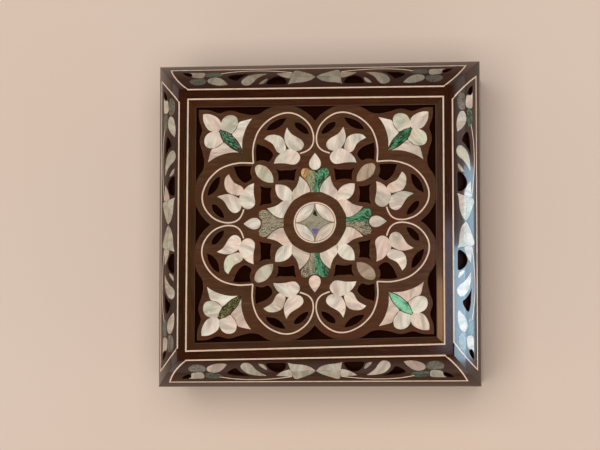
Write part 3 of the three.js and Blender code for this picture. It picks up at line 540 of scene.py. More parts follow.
class Mat:
    def __init__(self, name, **kw):
        self.m = bpy.data.materials.new(name)
        self.m.use_nodes = True
        self.nt = self.m.node_tree
        self.nt.nodes.clear()
        self.out = self.nt.nodes.new("ShaderNodeOutputMaterial")
        self.b = self.nt.nodes.new("ShaderNodeBsdfPrincipled")
        self.nt.links.new(self.b.outputs[0], self.out.inputs[0])
        for k, v in kw.items():
            self.b.inputs[k].default_value = v

    def node(self, kind, **kw):
        n = self.nt.nodes.new(kind)
        ins = {k: v for k, v in kw.items() if k in n.inputs}
        for k, v in kw.items():
            if k not in ins:
                setattr(n, k, v)
        for k, v in ins.items():
            if isinstance(v, bpy.types.NodeSocket):
                self.nt.links.new(v, n.inputs[k])
            else:
                n.inputs[k].default_value = v
        return n

    def link(self, a, b):
        self.nt.links.new(a, b)

    def attr(self, name, out="Vector"):
        n = self.nt.nodes.new("ShaderNodeAttribute")
        n.attribute_name = name
        return n.outputs[out]

    def coords(self):
        return self.nt.nodes.new("ShaderNodeTexCoord").outputs["Object"]

    def mapping(self, vec, scale=(1, 1, 1), rot=(0, 0, 0), loc=(0, 0, 0)):
        n = self.nt.nodes.new("ShaderNodeMapping")
        self.link(vec, n.inputs["Vector"])
        n.inputs["Scale"].default_value = scale
        n.inputs["Rotation"].default_value = rot
        n.inputs["Location"].default_value = loc
        return n.outputs[0]

    def noise(self, vec, scale, detail=3, rough=0.5, distort=0.0):
        n = self.nt.nodes.new("ShaderNodeTexNoise")
        self.link(vec, n.inputs["Vector"])
        n.inputs["Scale"].default_value = scale
        n.inputs["Detail"].default_value = detail
        n.inputs["Roughness"].default_value = rough
        n.inputs["Distortion"].default_value = distort
        return n.outputs["Fac"]

    def ramp(self, fac, stops, mode="LINEAR"):
        n = self.nt.nodes.new("ShaderNodeValToRGB")
        n.color_ramp.interpolation = mode
        self.link(fac, n.inputs["Fac"])
        els = n.color_ramp.elements
        while len(els) < len(stops):
            els.new(0.5)
        for e, (p, c) in zip(els, stops):
            e.position = p
            e.color = (*c, 1) if len(c) == 3 else c
        return n.outputs["Color"]

    def mix(self, fac, a, b, blend="MIX"):
        n = self.nt.nodes.new("ShaderNodeMix")
        n.data_type, n.blend_type = "RGBA", blend
        for sock, v in ((n.inputs["Factor"], fac), (n.inputs[6], a), (n.inputs[7], b)):
            if isinstance(v, bpy.types.NodeSocket):
                self.link(v, sock)
            else:
                sock.default_value = v if isinstance(v, float) else (*v, 1)
        return n.outputs[2]

    def maprange(self, v, a, b, c, d):
        n = self.nt.nodes.new("ShaderNodeMapRange")
        self.link(v, n.inputs["Value"])
        for k, x in zip(("From Min", "From Max", "To Min", "To Max"), (a, b, c, d)):
            n.inputs[k].default_value = x
        return n.outputs[0]

    def bump(self, height, strength, distance=0.0002):
        n = self.nt.nodes.new("ShaderNodeBump")
        n.inputs["Strength"].default_value = strength
        n.inputs["Distance"].default_value = distance
        self.link(height, n.inputs["Height"])
        self.link(n.outputs[0], self.b.inputs["Normal"])

    def colour(self, sock):
        self.link(sock, self.b.inputs["Base Color"])

    def rough(self, sock):
        self.link(sock, self.b.inputs["Roughness"])


def wood(name, light, mid, dark, rough=(0.16, 0.28), coat=0.3, along=(0.02, 0.35, 0.35), big=0.07, spec=0.28):
    """Lacquered dark wood. Its grain follows the Flow attribute, in millimetres, long along the first axis."""
    m = Mat(name, **{"Coat Weight": coat, "Coat Roughness": 0.06, "Specular IOR Level": spec})
    fl = m.attr("Flow")
    g = m.mapping(fl, scale=along)
    grain = m.noise(g, 3.0, 5, 0.62, 0.6)
    pores = m.noise(m.mapping(fl, scale=(0.12, 2.6, 2.6)), 2.2, 3, 0.6)
    c = m.ramp(grain, [(0.28, dark), (0.5, mid), (0.74, light)])
    red = m.noise(m.mapping(fl, scale=(big, big, big), loc=(3.1, 7.7, 1.3)), 1.0, 2, 0.5)
    olive = m.noise(m.mapping(fl, scale=(big * 0.8,) * 3, loc=(31.0, 17.7, 5.3)), 1.0, 2, 0.5)
    c = m.mix(m.maprange(red, 0.48, 0.66, 0.0, 0.75), c, tuple(x * y for x, y in zip(mid, (1.06, 0.70, 0.60))))
    c = m.mix(m.maprange(olive, 0.5, 0.7, 0.0, 0.7), c, tuple(x * y for x, y in zip(mid, (0.72, 0.86, 0.75))))
    c = m.mix(m.maprange(pores, 0.62, 0.74, 0.0, 0.35), c, tuple(x * 0.35 for x in dark))
    m.colour(m.mix(1.0, c, m.attr("Tint", "Color"), "MULTIPLY"))
    m.rough(m.maprange(grain, 0.3, 0.7, *rough))
    m.bump(pores, 0.1, 0.00006)
    return m.m


def pearl(name, pale, rose, green, rough=0.2, coat=0.45):
    """Nacre: one soft bright band and one tone or two across each piece, with near-white glints painted in as
    highlights, fine growth lines, and the piece's own tint.
    """
    m = Mat(name, **{"Coat Weight": coat, "Coat Roughness": 0.06, "Specular IOR Level": 0.5})
    fl = m.attr("Flow")
    broad = m.noise(m.mapping(fl, scale=(0.07, 0.20, 1.0)), 1.0, 1, 0.4, 0.5)
    lines = m.noise(m.mapping(fl, scale=(0.16, 0.6, 1.0)), 1.2, 2, 0.5, 0.9)
    hue = m.noise(m.mapping(fl, scale=(0.09, 0.12, 1.7), loc=(5, 2, 9)), 1.0, 1, 0.4, 0.3)
    glint = m.noise(m.mapping(fl, scale=(0.12, 0.34, 1.0), loc=(9, 1, 3)), 1.0, 2, 0.5, 1.0)
    c = m.ramp(hue, [(0.36, rose), (0.5, pale), (0.64, green)])
    c = m.mix(1.0, c, m.ramp(broad, [(0.39, (0.76,) * 3), (0.5, (0.95,) * 3), (0.61, (1.09,) * 3)]), "MULTIPLY")
    c = m.mix(1.0, c, m.ramp(lines, [(0.39, (0.90,) * 3), (0.52, (1.0,) * 3), (0.65, (1.07,) * 3)]), "MULTIPLY")
    # painted highlight: near-white glints mixed into the nacre's colour
    c = m.mix(m.maprange(glint, 0.57, 0.70, 0.0, 0.6), c, lin(244, 236, 226))
    c = m.mix(1.0, c, m.attr("Tint", "Color"), "MULTIPLY")
    m.colour(c)
    m.rough(m.maprange(lines, 0.3, 0.7, rough * 0.8, rough * 1.4))
    m.bump(broad, 0.18, 0.0004)
    return m.m


def abalone(name, stops, dark, pale, scale=1.0, lines=1.0, across=0.0, amount=(0.9, 0.6)):
    """Abalone: blots of colour, cut by dark wavering veins with a pale line beside each."""
    m = Mat(name, **{"Coat Weight": 0.45, "Coat Roughness": 0.06, "Specular IOR Level": 0.5})
    fl = m.attr("Flow")
    base = m.noise(m.mapping(fl, scale=(0.16 * scale, 0.34 * scale, 1.0)), 1.0, 2, 0.5, 0.8)
    if across:
        sep = m.node("ShaderNodeSeparateXYZ", Vector=fl)
        add = m.node("ShaderNodeMath", operation="MULTIPLY_ADD")
        m.link(sep.outputs[1], add.inputs[0])
        add.inputs[1].default_value = across
        m.link(base, add.inputs[2])
        base = add.outputs[0]
    c = m.ramp(base, stops)
    n = m.noise(m.mapping(fl, scale=(0.30 * lines, 0.75 * lines, 1.0), loc=(4, 4, 4)), 1.0, 2, 0.5, 1.3)
    bw = lambda *stops: m.ramp(n, [(q, (v,) * 3) for q, v in stops])
    p = bw((0.365, 0), (0.385, 1), (0.40, 0), (0.48, 0), (0.50, 1), (0.515, 0), (0.605, 0), (0.625, 1), (0.645, 0))
    d = bw((0.33, 1), (0.36, 0), (0.43, 0), (0.45, 1), (0.475, 0), (0.555, 0), (0.575, 1), (0.60, 0))
    c = m.mix(m.maprange(p, 0, 1, 0, amount[1]), c, pale)
    c = m.mix(m.maprange(d, 0, 1, 0, amount[0]), c, dark)
    m.colour(m.mix(1.0, c, m.attr("Tint", "Color"), "MULTIPLY"))
    m.b.inputs["Roughness"].default_value = 0.2
    m.bump(n, 0.1, 0.0001)
    return m.m


W_FRET = wood("lacquered wood fret", lin(94, 61, 38), lin(80, 50, 30), lin(64, 38, 22), along=(0.03, 0.2, 0.3))
W_RAIL = wood("lacquered wood rail", lin(64, 33, 13), lin(51, 24, 8), lin(36, 16, 5), rough=(0.12, 0.2), coat=0.5, spec=0.4)
W_FIELD = wood("lacquered wood field", lin(64, 33, 13), lin(51, 24, 8), lin(36, 16, 5), rough=(0.12, 0.2), coat=0.2, spec=0.15)
W_CASE = wood("lacquered wood case", lin(80, 42, 24), lin(58, 28, 15), lin(36, 16, 8), coat=0.45, spec=0.4)
m = Mat("dark recess", **{"Specular IOR Level": 0.03, "Roughness": 0.6})
c = m.noise(m.coords(), 90, 3)
m.colour(m.ramp(c, [(0.3, lin(22, 5, 1)), (0.7, lin(36, 12, 4))]))
m.bump(c, 0.1, 0.0001)
DARK = m.m
PEARL = pearl("mother of pearl", lin(228, 214, 198), lin(226, 204, 188), lin(214, 209, 191))
AB_GREEN = abalone("abalone green", [(0.38, lin(30, 78, 52)), (0.46, lin(84, 158, 116)), (0.54, lin(52, 128, 86)), (0.62, lin(26, 62, 42))], lin(16, 30, 20), lin(180, 196, 162), lines=0.42, amount=(0.75, 0.5))
AB_DEEP = abalone("abalone deep", [(0.40, lin(24, 46, 34)), (0.49, lin(20, 34, 26)), (0.56, lin(40, 116, 76)), (0.64, lin(30, 58, 42))], lin(12, 18, 14), lin(160, 176, 150), lines=0.55, amount=(0.95, 0.8))
AB_OLIVE = abalone("abalone olive", [(0.36, lin(30, 52, 30)), (0.46, lin(54, 60, 32)), (0.54, lin(30, 44, 24)), (0.64, lin(84, 80, 46))], lin(16, 20, 12), lin(186, 166, 110), lines=0.6, amount=(0.9, 0.75))
AB_MINT = abalone("abalone mint", [(0.36, lin(84, 164, 122)), (0.5, lin(128, 204, 160)), (0.62, lin(150, 214, 176)), (0.7, lin(96, 170, 130))], lin(44, 96, 68), lin(190, 226, 200), lines=0.6, amount=(0.5, 0.5))
AB_BROWN = abalone("abalone brown", [(0.36, lin(96, 84, 62)), (0.48, lin(140, 126, 98)), (0.6, lin(160, 146, 118)), (0.7, lin(120, 122, 92))], lin(42, 34, 22), lin(216, 205, 182), lines=1.15, amount=(1.0, 1.0))
AB_GOLD = abalone("abalone gold", [(0.30, lin(80, 106, 80)), (0.42, lin(150, 160, 118)), (0.54, lin(150, 104, 52)), (0.66, lin(214, 160, 86)), (0.8, lin(226, 186, 122))], lin(64, 52, 30), lin(216, 206, 170), lines=1.0, across=0.07, amount=(0.85, 0.6))
AB_GREY = abalone("abalone grey", [(0.36, lin(132, 126, 104)), (0.5, lin(150, 142, 118)), (0.7, lin(170, 162, 138))], lin(84, 74, 54), lin(190, 182, 160), lines=0.7, amount=(0.35, 0.4))
m = Mat("abalone violet", **{"Coat Weight": 0.45, "Roughness": 0.2})
m.colour(m.ramp(m.noise(m.attr("Flow"), 1.2, 2), [(0.3, lin(92, 72, 142)), (0.7, lin(124, 104, 172))]))
AB_VIOLET = m.m
m = Mat("tin wire", **{"Metallic": 0.08, "Coat Weight": 0.3, "Coat Roughness": 0.1})
fl = m.attr("Flow")
t = m.noise(m.mapping(fl, scale=(0.35, 2.0, 1.0)), 1.0, 3, 0.6)
m.colour(m.ramp(t, [(0.3, lin(212, 181, 155)), (0.55, lin(233, 205, 182)), (0.8, lin(242, 220, 200))]))
m.rough(m.maprange(t, 0.3, 0.7, 0.28, 0.42))
m.bump(t, 0.1, 0.00005)
TIN = m.m
m = Mat("brass", **{"Metallic": 1.0})
t = m.noise(m.mapping(m.coords(), scale=(1, 3, 3)), 420, 4, 0.65)
u = m.noise(m.coords(), 70, 3)
m.colour(m.mix(m.maprange(u, 0.35, 0.7, 0, 0.7), lin(196, 158, 88), lin(138, 98, 48)))
m.rough(m.maprange(t, 0.3, 0.7, 0.22, 0.42))
m.bump(t, 0.12, 0.00005)
BRASS = m.m
m = Mat("velvet", **{"Roughness": 0.9, "Sheen Weight": 0.9, "Sheen Roughness": 0.35, "Specular IOR Level": 0.15})
m.b.inputs["Sheen Tint"].default_value = (*lin(214, 120, 112), 1)
u = m.noise(m.coords(), 26, 3, 0.55, 0.6)
t = m.noise(m.coords(), 2600, 2)
m.colour(m.mix(m.maprange(t, 0.3, 0.7, 0, 0.35), m.ramp(u, [(0.32, lin(74, 10, 16)), (0.62, lin(112, 20, 26))]), lin(52, 6, 10)))
m.bump(t, 0.35, 0.00025)
VELVET = m.m

# ------------------------------------------------------------------ pierced panel and its inlays
rnd = random.Random(11)
TINTS = {
    "c": (1.0, 0.985, 0.965), "w": (1.06, 1.05, 1.04), "p": (0.98, 0.89, 0.85), "g": (0.90, 0.93, 0.85),
    "d": (0.82, 0.79, 0.74), "r": (0.84, 0.74, 0.68),
}


def pick(keys="ccwwppg"):
    t = TINTS[rnd.choice(keys)]
    k = rnd.uniform(0.94, 1.03)
    return tuple(x * k for x in t)


def piece(poly, k=None, mat=0, keys="ccwwppg", ang=None, step=0.8, tint=None):
    p = smooth(poly, step=step)
    if k is not None:
        p = eighth(k)(p)
    p = ccw(p * PX)
    a = rnd.uniform(0, math.pi) if ang is None else ang
    return (p, mat, tint or pick(keys), a, rnd.uniform(0, 60))


FRET_MATS = [PEARL, AB_GREEN, AB_DEEP, AB_OLIVE, AB_MINT, AB_BROWN, AB_GOLD, AB_GREY, AB_VIOLET, TIN]

E_MAX = OPEN_HALF + 0.15
edge = []
half = np.array(P_EDGE)
for k in (0, 3, 2, 1):  # anticlockwise from the back
    a = eighth(2 * k)(half)
    b = eighth(2 * k + 1)(half)[::-1][:-1]
    edge.append(np.vstack([a, eighth(2 * k)([[-116, 116]]), b]))
edge = np.vstack(edge)
# smooth the scalloped parts only; the corners and the flats against the frame stay
edge = smooth(edge, sharp=38, step=1.5) * PX
edge = np.clip(edge, -E_MAX, E_MAX)
keep = [0]
for j in range(1, len(edge)):
    if np.linalg.norm(edge[j] - edge[keep[-1]]) > 0.12:
        keep.append(j)
edge = edge[keep]
holes = [eighth(k)(smooth(h, step=0.9)) * PX for k in range(8) for h in P_HOLES]
bm = pierced(edge, holes, -FRET_T, 0.0, 0.48, 4)
me = to_mesh(bm, "fret", fret_map, 50)
finish_object("pierced_panel", me, "lid", [W_FRET], ["lid_pierced_panel"], sharp=50)

fret_nodes = ["rosette_inlay", "centre_star_inlay"]
rosette = []
for k in range(8):
    rosette.append(piece(P_PETAL, k, keys="ccwwppc"))
for k in range(4):
    rosette.append(piece(P_LEAF, 2 * k, keys="cwgg"))
    rosette.append(piece(P_BUD, 2 * k, keys="pcw"))
    left, right = [(6, 1), (1, 5), (1, 5), (5, 5)][k]
    other = [[-x, y] for x, y in P_TULIP]
    rosette.append(piece(P_TULIP, 2 * k, mat=left, ang=math.pi / 2 - k * math.pi / 2, tint=(1, 1, 1)))
    rosette.append(piece(other, 2 * k, mat=right, ang=math.pi / 2 - k * math.pi / 2, tint=(1, 1, 1)))
bm, flow, tint = new_bm()
inlays(bm, flow, tint, rosette)
finish_object("rosette", to_mesh(bm, "rosette", fret_map), "lid", FRET_MATS, ["rosette_inlay"])

star, R = [], 19.0
ring = arc3((0, 20.1), (-20.1, 0), (0, -20.1), 40)[:-1]
ring = np.vstack([ring, -ring]) * PX
for k in range(4):
    outer = arc3((-R, 0.3), (-R * 0.7071, R * 0.7071), (-0.3, R), 18)
    inner = arc3((-0.3, R), (-6.0, 6.0), (-R, 0.3), 14)[1:-1]
    lens = eighth(2 * k)(np.vstack([outer, inner]))
    star.append((ccw(lens * PX), 0, TINTS["cwpc"[k]], math.radians(45 + 90 * k), 7.0 + k * 3.1))
q = []
for k in range(4):
    inner = arc3((-0.2, 17.9), (-5.8, 5.8), (-17.9, 0.2), 14)
    q.append(eighth(2 * ((4 - k) % 4))(inner))
q = np.vstack(q)
star.append((ccw(q * PX), 7, (1, 1, 1), 0.4, 3.0))
star.append((ccw(np.array([[0, -12.2], [-2.2, -9.2], [-3.1, -7.2], [-2.2, -6.2], [2.2, -6.2], [3.1, -7.2], [2.2, -9.2]]) * PX), 8, (1, 1, 1), 0.2, 5.0))
bm, flow, tint = new_bm()
inlays(bm, flow, tint, star[:4], shrink=0.02)
inlays(bm, flow, tint, star[4:5], top=0.03, shrink=0.0)
inlays(bm, flow, tint, star[5:], top=0.06, shrink=0.0, bevel=0.03)
inlays(bm, flow, tint, [(ccw(np.array([[0.2, 13.5], [-1.4, 11], [-2.4, 8.6], [0.6, 6.2], [2.8, 6.6], [1.6, 10]]) * PX), 3, (0.8, 0.75, 0.7), 1.2, 9.0)], top=0.06, shrink=0.0, bevel=0.03)
wire_closed(bm, flow, tint, ccw(ring), 1.6 * PX, 9)
finish_object("centre_star", to_mesh(bm, "centre_star", fret_map), "lid", FRET_MATS, ["centre_star_inlay"])

for k, c in enumerate(CORNERS):
    bm, flow, tint = new_bm()
    ps = [piece(P_CORNER[0], 2 * k, keys="pcw"), piece(P_CORNER[1], 2 * k, keys="wcg"), piece(P_CORNER[2], 2 * k, keys="wcp"),
          piece(P_CORNER[1], 2 * k + 1, keys="wcg"), piece(P_CORNER[2], 2 * k + 1, keys="wcp"),
          piece(P_CORNER[3], 2 * k, mat=[2, 1, 4, 3][k], ang=math.radians(135 - 90 * k) + 0.2, tint=[(1, 1, 1), (0.62, 0.7, 0.62), (1, 1, 1), (1, 1, 1)][k])]
    inlays(bm, flow, tint, ps)
    finish_object(f"corner_flower_of_{c}", to_mesh(bm, "flower", fret_map), "lid", FRET_MATS, [f"corner_flower_{c}"])
    bm, flow, tint = new_bm()
    inlays(bm, flow, tint, [piece(P_DROP, 2 * k, tint=[(0.78, 0.84, 0.74), (0.54, 0.45, 0.37), (0.55, 0.43, 0.35), (0.68, 0.70, 0.63)][k])])
    finish_object(f"drop_leaf_of_{c}", to_mesh(bm, "drop", fret_map), "lid", FRET_MATS, [f"drop_leaf_{c}"])
    bm, flow, tint = new_bm()
    for e in (2 * k, 2 * k + 1):
        line = eighth(e)(smooth(P_SCROLL, closed=False, step=1.0, sharp=60)) * PX
        wire_open(bm, flow, tint, line, WIRE, 9, seed=e * 3.0)
        inlays(bm, flow, tint, [piece(p, e, keys="ccwwppg") for p in P_TRI])
    finish_object(f"scroll_of_{c}", to_mesh(bm, "scroll", fret_map), "lid", FRET_MATS, [f"scroll_wires_{c}"])

# ------------------------------------------------------------------ rails of the lid
RAIL_MATS = [W_RAIL, DARK, PEARL, AB_DEEP, AB_OLIVE, AB_BROWN, TIN]
CHANNEL = 2.0


def fillet(points, i, r, n=4):
    """Rounds corner i of a list of (a, z) points."""
    p, a, b = np.array(points[i]), np.array(points[i - 1]), np.array(points[i + 1])
    u, v = (a - p) / np.linalg.norm(a - p), (b - p) / np.linalg.norm(b - p)
    r = min(r, np.linalg.norm(a - p) * 0.45, np.linalg.norm(b - p) * 0.45)
    s, e = p + u * r, p + v * r
    return [tuple((1 - t) ** 2 * s + 2 * t * (1 - t) * p + t * t * e) for t in np.linspace(0, 1, n)]


B_PIECES = [  # outline, material, tint keys
    (B_LILY_UP, 2, "cwg"), (B_LILY_LOW, 2, "cwg"), (B_TAIL, 2, "cpw"), (B_BUD, 2, "pr"), (B_PAISLEY, 2, "cwg"),
    (B_LEAF, 2, "cwp"), (B_BLOCK, 2, "wcw"), (B_ROSE, 5, None), (B_GREEN, 3, None),
]
B_STEM = [[97.5, 0.2], [82, 0.1], [66, 0.065], [50, 0.08], [36, 0.13], [25, 0.19]]
B_HOLES = [
    [[49, 0.8], [48, 0.64], [44, 0.46], [38.8, 0.38], [33.6, 0.44], [30, 0.6], [28.8, 0.76], [31, 0.81], [39, 0.82], [46.5, 0.82]],
    [[66, 0.2], [74, 0.23], [82, 0.25], [89.5, 0.33], [88.4, 0.43], [82.6, 0.58], [79.4, 0.59], [76.6, 0.46], [72.4, 0.33]],
    [[137, 0.11], [130, 0.13], [126, 0.24], [128, 0.34], [133, 0.26]],
]
# painted shade: the shell on each rail is darkened and a little tinted by side, darkest at the back, lightest on the
# right
SHELL_SIDE_SHADE = [(0.40, 0.385, 0.34), (0.86, 0.88, 0.9), (0.57, 0.55, 0.52), (0.63, 0.62, 0.57)]
BOW = [1.1, 0.3, 1.1, 0.3]  # how far the mitre wires bow towards the corners
RAIL_SIDE_LIGHT_TINT = [(1.0, 0.86, 0.6), (1.0, 0.95, 1.0), (1.16, 1.2, 1.0), (1.15, 1.3, 1.35)]  # the four rails are tinted apart, a painted sheen and shade by side: the back warmer and darker, the front lighter, the left lighter and greyer-blue

for i, side in enumerate(SIDES):
    rl = Rail(i)
    f0, f1, c = FIELD[i]
    Yf = lambda v: rl.Y_of(f0 + 0.02 + (f1 - f0 - 0.03) * np.array(v, float))

    bow = lambda f: BOW[i] * 4 * np.clip((f - f0) / (f1 - f0), 0, 1) * (1 - np.clip((f - f0) / (f1 - f0), 0, 1))

    # body with a channel under the field
    D = CHANNEL
    W = float(rl.length(0)[0] - rl.length(1)[0]) / 2
    prof = []  # (f, z, kind): kind 0 is as given, 1 lies on the slope, 2 lies on the slope and sinks in the channel
    rim = fillet([(0, 0), (0, RIM_H), (0.08 * 18, float(surf_z(0.08)))], 1, 0.7, 5)
    prof += [(a / 18, z, 0) for a, z in fillet([(3, 0), (0, 0), (0, 3)], 1, 0.35, 3)]
    prof += [(a / 18, z, 0) for a, z in rim]
    fa = rim[-1][0] / 18
    for f in [fa + 0.004] + list(np.linspace(fa, f0, 4)[1:]):
        prof.append((f, None, 1))
    for f in np.linspace(f0 + 0.002, f1 - 0.012, 16):
        prof.append((f, None, 2))
    crest = fillet([(0.66 * 18, float(surf_z(0.66))), (SLOPE_END * 18, LID_H), (0.8 * 18, LID_H)], 1, 0.5, 4)
    prof.append((f1 - 0.0105, None, 1))
    prof += [(a / 18, z, 0) for a, z in crest if a / 18 > f1 - 0.01]
    prof += [(0.768, LID_H, 0), (0.99, LID_H, 0)]
    prof += [(a / 18, z, 0) for a, z in fillet([(0.99 * 18, LID_H), (1.03 * 18, LID_H), (OPEN_F * 18, FRET_TOP - LID_Z)], 1, 0.35, 4)]
    prof += [(q, float(surf_z(q)), 0) for q in (1.058, 1.19)]
    prof += [(a / 18, z, 0) for a, z in fillet([(1.1 * 18, float(surf_z(1.1))), (OPEN_F * 18, FRET_TOP - LID_Z), (OPEN_F * 18, FRET_TOP - FRET_T - LID_Z)], 1, 0.3, 3)]
    prof += [(OPEN_F, FRET_TOP - FRET_T - LID_Z, 0), (1, FRET_TOP - FRET_T - LID_Z, 0), (1, 0, 0)]
    f = np.array([p[0] for p in prof])
    z = np.array([float(surf_z(p[0])) if p[1] is None else p[1] for p in prof])
    kind = np.array([p[2] for p in prof])
    L = rl.length(np.clip(f, 0, OPEN_F))
    cols, flows, low = [], [], []
    for end, sunk in ((-1, 0), (-2, 0), (-3, 1), (3, 1), (2, 0), (1, 0)):
        s = np.sign(end)
        X = s * (L / 2 - (0.03 if abs(end) == 1 else c + 0.02 - bow(f) if abs(end) == 2 else c + 0.06 - bow(f)))
        h = np.where((kind == 2) & bool(sunk), -D, 0.0)
        P = rl.at(X, f, z, h) * MM
        cols.append(P)
        flows.append(np.column_stack([X, f * 18, z + i * 37.0]))
        low.append(sunk)
    bm, flow, tint = new_bm()
    n = len(prof)
    loft(bm, cols, lambda j, k: 1 if low[j] and low[j + 1] and kind[k] == 2 and kind[(k + 1) % n] == 2 else 0, flows)
    bmesh.ops.triangulate(bm, faces=[q for q in bm.faces if len(q.verts) > 4])
    bmesh.ops.recalc_face_normals(bm, faces=bm.faces[:])
    tl = bm.verts.layers.float_color["Tint"]
    for v in bm.verts:
        x, y = v.co.x / MM, v.co.y / MM
        # painted highlight: the inner bevel below the crest is painted lighter and less red where it catches light
        bevel = v.co.z > (LID_Z + 14) * MM and max(abs(x), abs(y)) < 63.5 and v.co.z < (LID_Z + LID_H - 0.05) * MM
        k = (1.45, 1.75, 1.9) if bevel else (1, 1, 1)
        # painted sheen and shade: the side's tint, times the inner bevel's painted highlight
        v[tl] = (*(a * b for a, b in zip(RAIL_SIDE_LIGHT_TINT[i], k)), 1)
    me = bpy.data.meshes.new("rail")
    bm.to_mesh(me)
    bm.free()
    body = finish_object(f"rail_{side}", me, "lid", RAIL_MATS, [f"lid_rail_{side}"], sharp=28)
    if side == "back":
        boolean(body, [(x - LEAF_HALF - 0.2, x + LEAF_HALF + 0.2, LEAF_Y1 + 0.1, 81, LID_Z - 1, 54.3) for x in (-HINGE_X, HINGE_X)])
    if side == "front":
        arc = [(-10 + 20 * j / 24, 1.5 * math.sqrt(max(0, 1 - (j / 12 - 1) ** 2))) for j in range(25)]
        cut = bmesh.new()
        pts = [(-10, -0.5), (10, -0.5)] + [(x, zz) for x, zz in arc[::-1]]
        va = [cut.verts.new((x * MM, -81 * MM, (LID_Z + zz) * MM)) for x, zz in pts]
        vb = [cut.verts.new((x * MM, -77.6 * MM, (LID_Z + zz) * MM)) for x, zz in pts]
        for j in range(len(pts)):
            cut.faces.new((va[j], va[(j + 1) % len(pts)], vb[(j + 1) % len(pts)], vb[j]))
        cut.faces.new(va[::-1])
        cut.faces.new(vb)
        bmesh.ops.recalc_face_normals(cut, faces=cut.faces[:])
        cm = bpy.data.meshes.new("notch")
        cut.to_mesh(cm)
        cut.free()
        boolean(body, solids=[cm])

    # the field's outline in (X, Y): its ends run along the mitres
    fe = np.linspace(f0, f1, 9)
    ends = rl.length(fe) / 2 - c + bow(fe)
    Ye = rl.Y_of(fe)
    quad = np.vstack([np.column_stack([-ends[::-1], Ye[::-1]]), np.column_stack([ends, Ye])])
    quad = ccw(quad)
    place = lambda pts, m, st=0.35: smooth(np.column_stack([m * np.array(pts)[:, 0] * PX, Yf(np.array(pts)[:, 1])]), step=st)
    hs = [place(h, m) for h in B_HOLES for m in (1, -1)]
    y0, y1 = float(Ye[0]) - 0.5, float(Ye[-1]) + 0.5
    bm = pierced(grow(quad, -0.02), hs, -0.9, 0.0, 0.1)
    slice_rows(bm, y0, y1, 0.9)
    bmesh.ops.triangulate(bm, faces=[q for q in bm.faces if len(q.verts) > 4])
    fl_ = bm.verts.layers.float_vector["Flow"]
    for v in bm.verts:
        v[fl_] = (v.co.x, v.co.y * 0.8, i * 37.0)
        # painted sheen and shade: the side's tint
        v[bm.verts.layers.float_color["Tint"]] = (*RAIL_SIDE_LIGHT_TINT[i], 1)
    finish_object(f"border_field_{side}", to_mesh(bm, "field", rl.map, 30), "lid", [W_RAIL if side == "right" else W_FIELD], sharp=30)

    bm, flow, tint = new_bm()
    ps = []
    for m_ in (1, -1):
        for poly, mat, keys in B_PIECES:
            p = ccw(place(poly, m_))
            a = (math.pi / 2 if m_ > 0 else math.pi / 2) + rnd.uniform(-0.5, 0.5)
            # painted shade: this side's darkening of the shell
            dim = SHELL_SIDE_SHADE[i]
            col = tuple(x * y for x, y in zip(pick(keys) if keys else (0.6, 0.6, 0.6) if mat == 5 else (1, 1, 1), dim))
            ps.append((p, mat, col, a if mat == 2 else 0.3, rnd.uniform(0, 60)))
    inlays(bm, flow, tint, ps, depth=0.5)
    for m_ in (1, -1):
        q = np.array(B_STEM)
        line = smooth(np.column_stack([m_ * q[:, 0] * PX, Yf(q[:, 1])]), closed=False, step=0.6, sharp=70)
        wire_open(bm, flow, tint, line, 0.6, 6, top=0.045)
    slice_rows(bm, y0, y1, 0.9)
    bmesh.ops.triangulate(bm, faces=[q for q in bm.faces if len(q.verts) > 4])
    finish_object(f"garland_{side}", to_mesh(bm, "garland", rl.map), "lid", RAIL_MATS, [f"border_garland_{side}"])

    bm, flow, tint = new_bm()
    dense = []
    for j in range(len(quad)):
        a, b = quad[j], quad[(j + 1) % len(quad)]
        k = max(1, int(np.linalg.norm(b - a) / 6))
        dense += [a + (b - a) * t / k for t in range(k)]
    wire_closed(bm, flow, tint, np.array(dense) , WIRE, 0, seed=i * 5.0)
    finish_object(f"border_wire_of_{side}", to_mesh(bm, "wire", rl.map, 50), "lid", [TIN], [f"border_wire_{side}"], sharp=50)

bm, flow, tint = new_bm()
q = np.vstack([rail_corner(j, 1.0) for j in (3, 2, 1, 0)])
q = ccw(q)
dense = []
for j in range(4):
    a, b = q[j], q[(j + 1) % 4]
    dense += [a + (b - a) * t / 24 for t in range(24)]
wire_closed(bm, flow, tint, np.array(dense), WIRE * 1.05, 0, seed=31.0)
finish_object("crest_wire_loop", to_mesh(bm, "crest", lambda P: np.column_stack([P[:, :2], LID_Z + LID_H + P[:, 2]]), 50), "lid", [TIN], ["crest_wire"], sharp=50)

# ------------------------------------------------------------------ case walls
CASE_MATS = [W_CASE, DARK, PEARL, AB_GREEN, AB_BROWN, TIN]
SIDE_W, SIDE_H, SIDE_Z = 67.0, 19.5, 26.5
S_PIECES = [
    ([[0.2, 0.2], [0.2, 3.6], [-9, 8.2], [-19, 13], [-24, 14], [-23.5, 7.5], [-25, 4.6], [-13, 1.2]], 2, "cwp"),
    ([[0.2, -0.2], [0.2, -3.6], [-9, -8.2], [-19, -13], [-24, -14], [-23.5, -7.5], [-25, -4.6], [-13, -1.2]], 2, "cwp"),
    ([[-14, 0], [-26, 3.8], [-38, 0], [-26, -3.8]], 3, None),
    ([[-46, 1.5], [-50, 7], [-57, 10.5], [-64, 8], [-66, 2], [-63, -3.5], [-57, -5], [-52, -2.5]], 2, "cwp"),
    ([[-72, -1], [-77, -7.5], [-85, -11], [-92, -9], [-95, -3.5], [-91, 1], [-83, 3], [-76, 2]], 2, "cwg"),
    ([[-96, -0.6], [-103, 9], [-112, 14], [-121, 15], [-117, 7], [-109, 1.5]], 2, "cwp"),
    ([[-96, 0.6], [-103, -9], [-112, -14], [-121, -15], [-117, -7], [-109, -1.5]], 2, "cwp"),
]
